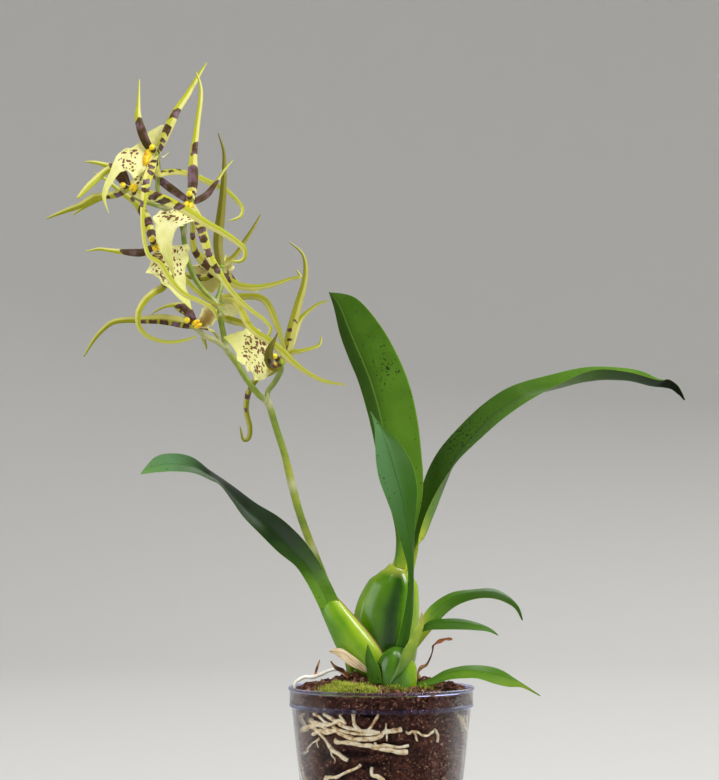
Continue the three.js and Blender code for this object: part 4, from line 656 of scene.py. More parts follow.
# The back one is palest at its neck, and the left one has a dried brown margin along its right.
neck = add(bulb_skin, 'MapRange', [rise, 0.84, 0.93, 0.0, 0.8])
neck = add(bulb_skin, 'Math', [neck, pale_neck], operation='MULTIPLY')
green = add(bulb_skin, 'MixRGB', [neck, green, '#c3c94a'])
margin = add(bulb_skin, 'Math', [cloud, 0.12, side], operation='MULTIPLY_ADD')
margin = add(bulb_skin, 'MapRange', [margin, 0.97, 1.03])
margin = add(bulb_skin, 'Math', [margin, dried], operation='MULTIPLY')
add(bulb_skin, 'MixRGB', [margin, green, '#8d6a48'], to='Base Color')
lines = add(bulb_skin, 'Mapping', {'Vector': place, 'Scale': (1, 1, 0.06)})
lines = add(bulb_skin, 'TexNoise', {'Vector': lines, 'Scale': 1 / (0.8 * MM), 'Detail': 2})
add(bulb_skin, 'Bump', {'Height': lines, 'Strength': 0.25, 'Distance': 0.08 * MM}, output='Normal',
    to='Normal')

back_bulb = bulb(BACK_BULB, 10, 0.17, crest=0.05, neck=1.0, painted_groove_shade=0.32, painted_west_light=0.3)
left_bulb = bulb(LEFT_BULB, 8, 0.36, dried=1.0)
front_shoot = bulb(FRONT_SHOOT, 6, 0.14, crest=0.06)
piece('bulb_back', [back_bulb], bulb_skin)
piece('bulb_left', [left_bulb], bulb_skin)
piece('shoot_front', [front_shoot], bulb_skin)

# ---- Leaves -----------------------------------------------------------------
# Strap leaves folded along the midrib, leathery and about 1 mm thick, thinning to the margins. Each
# grows from the top of a bulb or of the front shoot. The back one carries old speckles and the right
# one a few. A bluish painted sheen, a painted reflection, lies on the upper part of the front one and
# the left one's tip, and the leaves' tones are painted light and shade.

LEAF_THICKNESS = 1.1
LEAF_STEPS = 130
LEAF_ACROSS = 24
VEIN_SPACING = 0.9

# Shares of the length at which a leaf's tones and how much lighter its right half is, both painted
# light and shade, are given.
TONE_PLACES = (0, 0.12, 0.3, 0.6, 0.85, 1)

# The left and right margins from base to tip, the fold (one, or several along the leaf), how much
# lighter its right half is painted, and its tones from dark to light green, painted light and shade
# over its own green along the leaf.
LEAVES = {
    'leaf_back': (
        [[7.5, 1.6, 182.5], [9.5, 2.6, 195], [9, 6, 208.5], [4.5, 10, 227], [-1, 13, 246.5],
         [-5, 16, 268], [-9.5, 19, 287], [-15, 22, 305.5], [-21.5, 24, 321.5], [-27, 26, 337],
         [-31, 27.5, 354.5], [-34.5, 29, 365.5]],
        [[15.5, 1.6, 182], [19, 2.6, 195.5], [23.5, 5, 212.5], [26.5, 6, 226], [27.5, 6, 241],
         [26.5, 7, 256], [24, 8.5, 279], [19, 10, 301.5], [11, 13, 322], [-0.5, 17, 342.5],
         [-16.5, 23, 361], [-34.2, 28.9, 365.6]],
        0.1,
        [0, 0.13, 0.19, 0.2, 0.18, 0.12], [0.8, 0.44, 0.34, 0.22, 0.08, 0.02]),
    'leaf_right': (
        [[10.5, 2, 181], [14, 7, 192.5], [19, 13, 204], [23.5, 17, 221.5], [29, 21, 241.5],
         [37.5, 22, 258.5], [51, 23, 274.5], [68.5, 24, 291], [87, 23, 302.5], [111.5, 20, 309.5],
         [136.5, 16, 314.5], [160.5, 13, 313.5], [172.5, 10, 310.5], [180.5, 8, 306.5],
         [188.5, 5, 303.5], [194, 3, 298], [197.5, 1, 292]],
        [[21, 1.5, 180.5], [24, 1.5, 194.5], [24.5, -2, 204], [30, -6, 220.5], [39, -10, 237.5],
         [49.5, -13, 252], [63.5, -14, 265.5], [79, -13, 279], [96.5, -12, 291], [114, -11, 300.5],
         [136.5, -12, 310], [159, -10, 309], [179, -7, 304], [186, -6, 304.5], [192, -4, 301],
         [195.5, -2, 296], [197.5, 0, 291.5]],
        [-0.15, -0.25, -0.45, -0.38, -0.28, -0.16, -0.1, -0.06, -0.08, -0.2, -0.3, -0.3, -0.34, -0.38,
         -0.4, -0.4, -0.3],
        [0.05, 0.2, 0.12, -0.05, -0.36, -0.3], [0.85, 0.6, 0.1, 0.36, 0.12, 0.05]),
    'leaf_front': (
        [[9, -27.5, 134.5], [13, -26, 149], [16, -26, 166], [16.5, -26, 182], [13.5, -26, 194.5],
         [8, -25, 213.5], [3, -24, 227], [-1.5, -22, 239.5], [-3.5, -20, 251.5], [-4, -18, 263.5],
         [-4.5, -16, 273.5], [-7, -13, 283]],
        [[16, -26, 132], [19.5, -22, 151.5], [20.5, -20, 169], [20.5, -19, 187], [21, -18, 201],
         [22, -17, 216.5], [23, -17, 232.5], [21, -16, 245.5], [17, -15, 255], [10, -14, 265],
         [1.5, -13, 273], [-7, -12.5, 283]],
        0.16,
        [-0.03, -0.03, -0.03, -0.08, -0.1, 0], [0.2, 0, 0, 0.14, 0.36, 0.5]),
    'leaf_left': (
        [[-27, -14.6, 162], [-31.5, -12, 171.5], [-36.5, -9, 180.5], [-41.5, -6.5, 189], [-51, -5, 202],
         [-65, -5, 215], [-80.5, -7, 224.5], [-92.5, -12, 233.5], [-101.5, -20, 240],
         [-109.5, -28, 245.5], [-119.5, -30, 253], [-131, -33, 255.5], [-142.5, -38, 253],
         [-151, -44, 242.5]],
        [[-39, -15.6, 156.5], [-44, -16.6, 167], [-49, -18.5, 176], [-55, -21, 184.5], [-65.5, -24, 193],
         [-77.5, -28, 205], [-87.5, -31, 215.5], [-94.5, -33, 225.5], [-101.5, -35, 235],
         [-108, -38, 238.5], [-117.5, -44, 242.5], [-129, -48, 243.5], [-140, -47, 243],
         [-151, -44, 242]],
        0.1,
        [0.04, 0.04, 0.04, 0.04, 0.04, 0.04], [0.5, 0.4, 0, -0.1, 0.26, 0.5]),
    'leaf_young_upper': (
        [[18.9, -25.5, 136.2], [23.5, -24, 148], [29, -23, 157], [36.5, -22, 163.5], [46, -20, 168],
         [58, -19, 169.5], [70.5, -19, 170], [79.5, -22, 166], [86.5, -25, 159], [89, -28, 150.5]],
        [[19.9, -27, 129.6], [26.5, -27, 138], [33, -28, 146], [40.5, -30, 154.5], [49, -32, 160.5],
         [60, -33, 164], [70.5, -33, 164], [79, -32, 161], [84.5, -30, 157], [88.5, -28, 150]],
        0.08,
        [0.05, 0.05, 0, -0.25, -0.34, -0.1], [0.95, 1, 0.42, 0, 0.12, 0.14]),
    'leaf_young_middle': (
        [[19.5, -33.5, 137.5], [24.5, -31, 145.5], [31, -31, 150.5], [39, -31, 151.5], [49, -31, 151.5],
         [58.5, -31, 149.5], [67.5, -33, 146], [73, -35, 141.5]],
        [[18.5, -34.5, 134.5], [23.5, -33, 142], [30, -36, 144.5], [39, -38, 145], [49, -39, 145],
         [59, -38, 144.5], [67, -36, 143.5], [73, -35, 141]],
        0.08,
        [0.03, 0.03, 0.03, 0.03, 0.03, 0.03], [0.4, 0.18, 0.2, 0.26, 0.42, 0.55]),
    'leaf_young_lower': (
        [[22.6, -30, 111.5], [31, -31, 114.5], [39, -31, 119], [48, -31, 121.5], [57, -32, 122.5],
         [67, -34, 122], [75.5, -38, 119.5], [83.5, -42, 114.5], [98, -48, 105]],
        [[22.8, -32, 108.5], [33, -36, 111], [42, -40, 114], [50.5, -43, 115], [59.5, -45, 115],
         [69.5, -46, 112], [78.5, -46, 110], [87, -46, 109.5], [97.5, -48, 104.5]],
        0.06,
        [0.08, 0.08, 0.08, 0.08, 0.08, 0.08], [0.42, 0.4, 0.46, 0.54, 0.62, 0.62]),
}

# Where the midrib lies across a leaf, if not at its middle, and how fresh and deep its green is.
MIDRIBS = {'leaf_back': 0.28, 'leaf_front': 0.42}
FRESH = {'leaf_front': 0.9, 'leaf_young_upper': 0.1, 'leaf_young_middle': 0.4, 'leaf_young_lower': 0.3}

# Painted sheen along a leaf, a grey-blue painted reflection: shares of its length, and how strong it
# is there.
PAINTED_SHEEN = {'leaf_front': ((0.35, 0.6, 0.9, 1), (0, 0.5, 0.7, 0.2)),
         'leaf_left': ((0.72, 0.86, 1), (0, 0.4, 0.3))}


def blade(left, right, steps, thickness, fold, across=16, ruffle=0.0, waves=3.0, frill=0.0, rib=0.5):
    """Rings of a thin blade between two margins. A point at share s of the width lies on the line
    between the margins, sunk towards the midrib by the fold (one share of the width, or several at even
    places), lifted at the margins by the ruffle's waves, and out from the middle by half the thickness
    times the root of sin(pi s). A frill scallops the margins in their own line, by that share of the
    width. The midrib is at the share rib of the width. With the rings come facts of each point: its
    distance across from the midrib, how near the margin it is, whether it is underneath, and its share
    of the length."""
    port, starboard = spline(left, steps)[:, None], spline(right, steps)[:, None]
    t = np.linspace(0, 1, steps + 1)[:, None, None]
    span = starboard - port
    # Two waves of unequal length on each margin, so that the scallops don't repeat.
    scallop = frill * np.sin(np.pi * t) ** 0.5
    port = port - span * scallop * (np.sin(31 * t) + 0.7 * np.sin(57 * t + 1))
    starboard = starboard + span * scallop * (np.sin(35 * t + 2) + 0.7 * np.sin(63 * t))
    span = starboard - port
    width = np.linalg.norm(span, axis=-1)
    ahead = np.gradient((port + starboard)[:, 0], axis=0)[:, None]
    normal = unit(np.cross(ahead, span))
    even = 0.5 - 0.5 * np.cos(np.pi * np.arange(across + 1) / across)
    s = np.interp(even, (0, 0.5, 1), (0, rib, 1))
    from_midrib = np.sqrt((2 * even - 1) ** 2 + 0.004)
    # The right margin's waves are out of step with the left one's.
    wave = np.sin(waves * 2 * np.pi * t[..., 0] + np.where(even > 0.5, 1.3, 0))
    wave = wave + (frill > 0) * np.sin(43 * t[..., 0] + np.where(even > 0.5, 2, 0)) * from_midrib ** 4
    fold = np.interp(t[..., 0], np.linspace(0, 1, np.size(fold)), np.atleast_1d(fold))
    lift = width * (-fold * (1 - from_midrib) + ruffle * wave * from_midrib ** 2)
    half = 0.5 * thickness * np.sqrt(np.sin(np.pi * np.clip(even, 1e-4, 1 - 1e-4)))
    middle = port + span * s[:, None] + normal * lift[..., None]
    top, under = middle + normal * half[:, None], middle - normal * half[:, None]
    s, even = np.concatenate([s, s[-2:0:-1]]), np.concatenate([even, even[-2:0:-1]])
    below = np.concatenate([np.zeros(across + 1), np.ones(across - 1)])
    facts = {'across': (s - rib) * width, 'middle': np.abs(2 * even - 1)[None], 'under': below[None],
             'share': t[..., 0]}
    return np.concatenate([top, under[:, -2:0:-1]], 1), facts


# Leaf: waxy cuticle, deep green and finely veined lengthwise, with a paler underside. The midrib is a
# dark line, and a pale one where it is `ribbed`. The painted sheen, a painted reflection, turns the
# green grey-blue, and the tone carries painted light and shade.
leaf_green = finish('orchid leaf', Specular_IOR_Level=0.09)
place = add(leaf_green, 'TexCoord', output='Object')
tone, across, middle, under, speckle, fresh, bloom, ribbed = (
    add(leaf_green, 'Attribute', output='Fac', attribute_name=fact)
    for fact in ('tone', 'across', 'middle', 'under', 'speckle', 'fresh', 'bloom', 'ribbed'))
cloud = add(leaf_green, 'TexNoise', {'Vector': place, 'Scale': 1 / (16 * MM), 'Detail': 5})
light = add(leaf_green, 'Math', [cloud, 0.3, tone], operation='MULTIPLY_ADD')
green = add(leaf_green, 'ValToRGB', [light],
            stops={0.0: '#061202', 0.13: '#132908', 0.4: '#31500f', 0.7: '#608a26', 1.0: '#b3c437'})
paler = add(leaf_green, 'Math', [under, 0.35], operation='MULTIPLY')
rib = add(leaf_green, 'MapRange', [middle, 0.015, 0.045, 0.5, 0.0])
midrib = add(leaf_green, 'MixRGB', [ribbed, '#183a07', '#76973f'])
margin = add(leaf_green, 'MapRange', [middle, 0.965, 0.995, 0.0, 0.5])
spots = add(leaf_green, 'TexNoise', {'Vector': place, 'Scale': 1 / (1.8 * MM), 'Detail': 3})
spots = add(leaf_green, 'Math', [speckle, 0.12, spots], operation='MULTIPLY_ADD')
spots = add(leaf_green, 'MapRange', [spots, 0.67, 0.7, 0.0, 0.85])
for share, colour in ((fresh, '#083a06'), (bloom, '#6d9a74'), (paler, '#4f7a1c'), (rib, midrib),
                      (margin, '#8fb53a')):
    green = add(leaf_green, 'MixRGB', [share, green, colour])
add(leaf_green, 'MixRGB', [spots, green, '#1b1a10'], to='Base Color')
add(leaf_green, 'MapRange', [cloud, 0.3, 0.7, 0.34, 0.48], to='Roughness')
vein = add(leaf_green, 'Math', [across, 2 * np.pi / VEIN_SPACING], operation='MULTIPLY')
vein = add(leaf_green, 'Math', [vein], operation='SINE')
add(leaf_green, 'Bump', {'Height': vein, 'Strength': 0.35, 'Distance': 0.04 * MM}, output='Normal',
    to='Normal')

for name, (left, right, fold, lean, tones) in LEAVES.items():
    rings, facts = blade(left, right, LEAF_STEPS, LEAF_THICKNESS, fold, across=LEAF_ACROSS,
                         rib=MIDRIBS.get(name, 0.5))
    half = np.abs(facts['across']).max(1, keepdims=True)
    rightward = np.tanh(4 * facts['across'] / half)
    # Painted light and shade: the tones along the leaf, and the right half painted lighter or darker.
    lean = np.interp(facts['share'], TONE_PLACES, lean)
    tone = np.interp(facts['share'], TONE_PLACES, tones) + lean * rightward
    speckled = 0.0
    if name == 'leaf_back':
        speckled = np.exp(-((rings[..., 0] - 2.5) / 7) ** 2 - ((rings[..., 2] - 315) / 13) ** 2)
    elif name == 'leaf_right':
        speckled = 0.9 * bell(facts['share'] - 0.36, 0.09)
    # Painted sheen: a grey-blue painted reflection, on the front leaf mostly over its left half.
    bloom = np.interp(facts['share'], *PAINTED_SHEEN.get(name, ((0, 1), (0, 0))))
    if name == 'leaf_front':
        bloom = bloom * (0.55 - 0.45 * rightward)
    made = skin(rings, **facts, tone=tone, speckle=speckled, ribbed=float(name == 'leaf_back'), bloom=bloom,
                fresh=FRESH.get(name, 0.0))
    piece(name, [made], leaf_green)

# ---- Sheaths and bract ------------------------------------------------------
# Leaf bases that wrapped the young growth: a yellow-green boat-shaped one on the front shoot, a small
# dark one at the left, and one that has dried to tan, papery and lined. Two dry slivers lie behind it.

SHEATH_THICKNESS = 0.9

# The left and right margins from base to tip.
SHEATHS = {
    'front': (
        [[4.5, -38.8, 111.5], [10, -39, 123], [12.5, -38.2, 130.5], [18, -36.5, 140], [22.5, -35, 149],
         [25, -34.5, 155.5]],
        [[5.5, -38.8, 111], [14.5, -38.6, 120.5], [19, -37, 127], [22, -36, 134], [25, -35.4, 142],
         [26.5, -35.5, 149], [25.5, -34.5, 155.5]]),
    'left': (
        [[-8.5, -31, 111], [-9.5, -31, 119], [-10.5, -30, 126], [-9, -28, 135]],
        [[0, -37, 111.5], [-1.5, -36.5, 120.5], [-5, -33, 127.5], [-8.5, -28, 135]]),
    'bract': (
        [[-9, -22, 119.5], [-14.5, -23, 125], [-20.5, -24, 129.5], [-25.5, -25, 132.5],
         [-30, -26, 132.5], [-33, -27, 131.5]],
        [[-8.5, -23, 116.5], [-15, -27, 119.5], [-21, -30, 122.5], [-24.5, -31, 125.5],
         [-29.5, -29, 129], [-33, -27.5, 130.5]]),
    'sliver_a': (
        [[-32.5, -23, 124.5], [-28.5, -23, 121.5], [-24, -22, 119.5], [-20.5, -20, 114.5]],
        [[-32, -25, 123.5], [-29.5, -25, 119.5], [-24.5, -24, 117], [-22, -22, 113.5]]),
    'sliver_b': (
        [[-39.5, -14, 125], [-41.5, -14, 120.5], [-42.5, -14, 117], [-43.5, -14, 113]],
        [[-39, -14, 124.5], [-40, -15, 120.5], [-41, -15, 117], [-41.5, -15, 113]]),
}

# Fresh sheath: like a leaf, thinner and yellower, ribbed lengthwise, greener at its base and drying
# from its tip.
fresh_sheath = finish('fresh sheath', Roughness=0.42, Coat_Weight=0.15)
place = add(fresh_sheath, 'TexCoord', output='Object')
share, across = (add(fresh_sheath, 'Attribute', output='Fac', attribute_name=fact)
                 for fact in ('share', 'across'))
cloud = add(fresh_sheath, 'TexNoise', {'Vector': place, 'Scale': 1 / (9 * MM), 'Detail': 4})
green = add(fresh_sheath, 'ValToRGB', [cloud], stops={0.3: '#5d8012', 0.7: '#97a92a'})
base = add(fresh_sheath, 'MapRange', [share, 0.1, 0.6, 0.85, 0.0])
green = add(fresh_sheath, 'MixRGB', [base, green, '#356612'])
dry_tip = add(fresh_sheath, 'MapRange', [share, 0.78, 0.97, 0.0, 0.8])
add(fresh_sheath, 'MixRGB', [dry_tip, green, '#b0904e'], to='Base Color')
vein = add(fresh_sheath, 'Math', [across, 2 * np.pi / 1.1], operation='MULTIPLY')
vein = add(fresh_sheath, 'Math', [vein], operation='SINE')
add(fresh_sheath, 'Bump', {'Height': vein, 'Strength': 0.5, 'Distance': 0.06 * MM}, output='Normal',
    to='Normal')

# Dry bract: papery tan with brown lengthwise lines.
dry_bract = finish('dry bract', Roughness=0.78)
across, share = (add(dry_bract, 'Attribute', output='Fac', attribute_name=fact)
                 for fact in ('across', 'share'))
grain = add(dry_bract, 'CombineXYZ', {'X': across, 'Y': share})
grain = add(dry_bract, 'TexNoise', {'Vector': grain, 'Scale': 1.4, 'Detail': 5})
add(dry_bract, 'ValToRGB', [grain], to='Base Color', stops={0.3: '#8f6a48', 0.48: '#cbb28a', 0.7: '#f0e3c4'})
add(dry_bract, 'Bump', {'Height': grain, 'Strength': 0.6, 'Distance': 0.3 * MM}, output='Normal',
    to='Normal')


def sheath(name, fold):
    """A sheath's skin between its two margins, with what its own finish or the leaves' one asks for."""
    rings, facts = blade(*SHEATHS[name], 60, SHEATH_THICKNESS, fold, across=14)
    return skin(rings, **facts, tone=0.28, speckle=0.0, ribbed=0.0, bloom=0.0, fresh=0.4)


piece('sheath_front', [sheath('front', 0.12)], fresh_sheath)
piece('sheath_left', [sheath('left', 0.12)], leaf_green)
piece('bract_dry', [sheath('bract', -0.35)], dry_bract)
piece('dry_slivers', [sheath('sliver_a', 0.2), sheath('sliver_b', 0.2)], dead_root)

# ---- Flower spike -----------------------------------------------------------
# One arching stalk from the foot of the bulb, round and firm, with pale joints low down. A short
# thicker stalk, the flower's ovary, leaves it for each bloom, with a small bract at its foot.

JOINT_SWELL = 0.12
JOINT_REACH = 4.0

# [x, y, z, radius] up the stalk, and out along each flower's own stalk. A joint is its middle.
RACHIS = [[-18.5, 15, 104, 2.8], [-20.5, 15, 120, 2.8], [-24, 15, 136, 2.8], [-30.5, 14, 159, 2.7],
          [-39.5, 12, 182, 2.6], [-52, 9, 215, 2.5], [-58, 7, 236.5, 2.6], [-63, 5, 257, 2.3],
          [-68.5, 4, 274, 2.2], [-73.5, 2, 289.5, 2.3], [-80, 1, 295.5, 2.1], [-87, 1, 304.5, 2],
          [-94, 1, 315.5, 1.9], [-100.5, 0, 325, 2.2], [-102.5, 0, 334, 1.9], [-104.5, 0, 343.5, 1.9],
          [-107.5, 0, 354, 2.1], [-115, 0, 362, 1.8], [-122, 0, 372, 1.8], [-126.5, 0, 384, 1.9],
          [-128.5, 0, 394.5, 1.7], [-129.5, -1, 403.5, 1.8], [-133, -3, 410.5, 1.6],
          [-139.5, -5, 416, 1.7]]
PEDICELS = {
    'a': [[-139.5, -5, 416, 1.6], [-143.5, -6, 422.5, 1.5], [-145.5, -6, 429.5, 1.5],
         [-145.5, -6, 437.5, 1.5], [-145, -8, 444.5, 1.5], [-146, -10, 449.5, 1.6]],
    'b': [[-139.5, -5, 416, 1.6], [-144, -6, 417.5, 1.5], [-151, -7, 419.5, 1.5], [-158, -9, 422, 1.5],
         [-163, -13, 426.5, 1.6]],
    'c': [[-128.5, 0, 400.5, 1.6], [-128, -3, 405.5, 1.4], [-126.5, -9, 411.5, 1.4],
         [-124, -17, 416.5, 1.5]],
    'd': [[-127.5, 0, 386, 1.6], [-135, -8, 386.5, 1.4], [-141, -15, 387.5, 1.4],
         [-144.5, -20, 388.3, 1.5]],
    'e': [[-107.5, 0, 354, 1.8], [-106.5, 3, 359, 1.7], [-105, 8, 365.5, 1.7], [-105, 12, 373.5, 1.7],
         [-105.4, 14, 379, 1.7]],
    'f': [[-105, 0, 347, 1.6], [-104.5, 5, 351.5, 1.5], [-105.2, 10, 356.5, 1.5]],
    'g': [[-100.5, 0, 325, 1.8], [-107, -3, 329.5, 1.9], [-114, -7, 332.5, 1.9], [-119.8, -12.5, 337.5, 2]],
    'h': [[-74, 2, 290.5, 1.8], [-73.5, 1, 297, 1.7], [-69, -2, 303, 1.8], [-65.5, -6, 309, 1.9],
         [-64.5, -8.5, 313, 2]],
}
JOINTS = [[-43.5, 11, 195], [-58, 7, 236.5], [-73.5, 2, 289.5], [-100.5, 0, 325], [-107.5, 0, 354]]

# Spike skin: satin green with fine pale dots, fading to straw round its joints.
spike_green = finish('flower stalk', Roughness=0.42, Coat_Weight=0.1)
place = add(spike_green, 'TexCoord', output='Object')
joint = add(spike_green, 'Attribute', output='Fac', attribute_name='joint')
cloud = add(spike_green, 'TexNoise', {'Vector': place, 'Scale': 1 / (12 * MM), 'Detail': 5})
green = add(spike_green, 'ValToRGB', [cloud], stops={0.25: '#587318', 0.5: '#7d9022', 0.75: '#a3a836'})
add(spike_green, 'MixRGB', [joint, green, '#c3c096'], to='Base Color')
dots = add(spike_green, 'TexNoise', {'Vector': place, 'Scale': 1 / (1.2 * MM), 'Detail': 2})
add(spike_green, 'Bump', {'Height': dots, 'Strength': 0.25, 'Distance': 0.08 * MM}, output='Normal',
    to='Normal')


def near_joint(rings):
    """One at a joint of the stalk, falling to nothing some 6 mm from it."""
    apart = np.linalg.norm(rings.mean(1)[:, None] - JOINTS, axis=-1).min(1)
    return bell(apart, JOINT_REACH)[:, None]


def swollen(rings):
    """The rings a little wider at the joints."""
    centre = rings.mean(1, keepdims=True)
    return centre + (rings - centre) * (1 + JOINT_SWELL * near_joint(rings)[..., None] ** 3)


stalk = swollen(stem(RACHIS, 20, 420))
stalks = [skin(stalk, joint=0.75 * near_joint(stalk))]
for letter, rows in PEDICELS.items():
    stalks.append(skin(stem(rows, 16, 60), joint=0.6 if letter == 'g' else 0.1))
    foot, ahead = np.array(rows[0][:3]), unit(np.subtract(rows[1][:3], rows[0][:3]))
    bract = [[*foot + t * ahead - [0, 1.5, 0.6], radius]
             for t, radius in ((-1.5, 1.2), (1, 1.6), (4, 1.1), (6.5, 0.3))]
    stalks.append(skin(stem(bract, 10, 16), joint=0.5))
piece('flower_spike', stalks, spike_green)

# ---- Flowers ----------------------------------------------------------------
# Eight blooms, each with three long narrow sepals, two shorter petals, a short column under a yellow
# anther cap, and a broad cream lip with an orange callus. The sepals are barred with dark purple, and
# the petals are dark over their lower part.

TEPAL_THICKNESS = 0.8
TEPAL_FOLD = 0.14
LEAST_WIDTH = 0.7
TEPAL_STEPS = 120
TEPAL_ACROSS = 10
BULGE = 1.6
FARTHEST = 3.0
LIP_THICKNESS = 0.7
LIP_FOLD = 0.06
LIP_FRILL = 0.02
LIP_RUFFLE = 0.035
LIP_STEPS = 110
LIP_ACROSS = 30
SPOT_FADE = 0.08
CALLUS_HALF_GAP = 1.3
ASIDE = (0.3, -0.4, -1)

# The column by shares of the way from the flower's middle to its cap, and the cap and each ridge of the
# callus by millimetres from its own middle, each with its radius there.
COLUMN = [(-0.2, 1.2), (0, 2.4), (0.4, 1.9), (0.8, 1.8), (1, 1.5)]
CAP = [(-1.6, 0.3), (-1.2, 1.5), (0, 2.0), (1.2, 1.5), (1.7, 0.4)]
RIDGE = [(-3.0, 0.3), (-2.0, 1.3), (0.4, 1.7), (2.4, 1.1), (3.4, 0.3)]


def dark_to(stop):
    """A patch over a petal's whole lower part, from below its base to that many millimetres along."""
    return [-5, stop, -1.3, 1.3, 1.5]


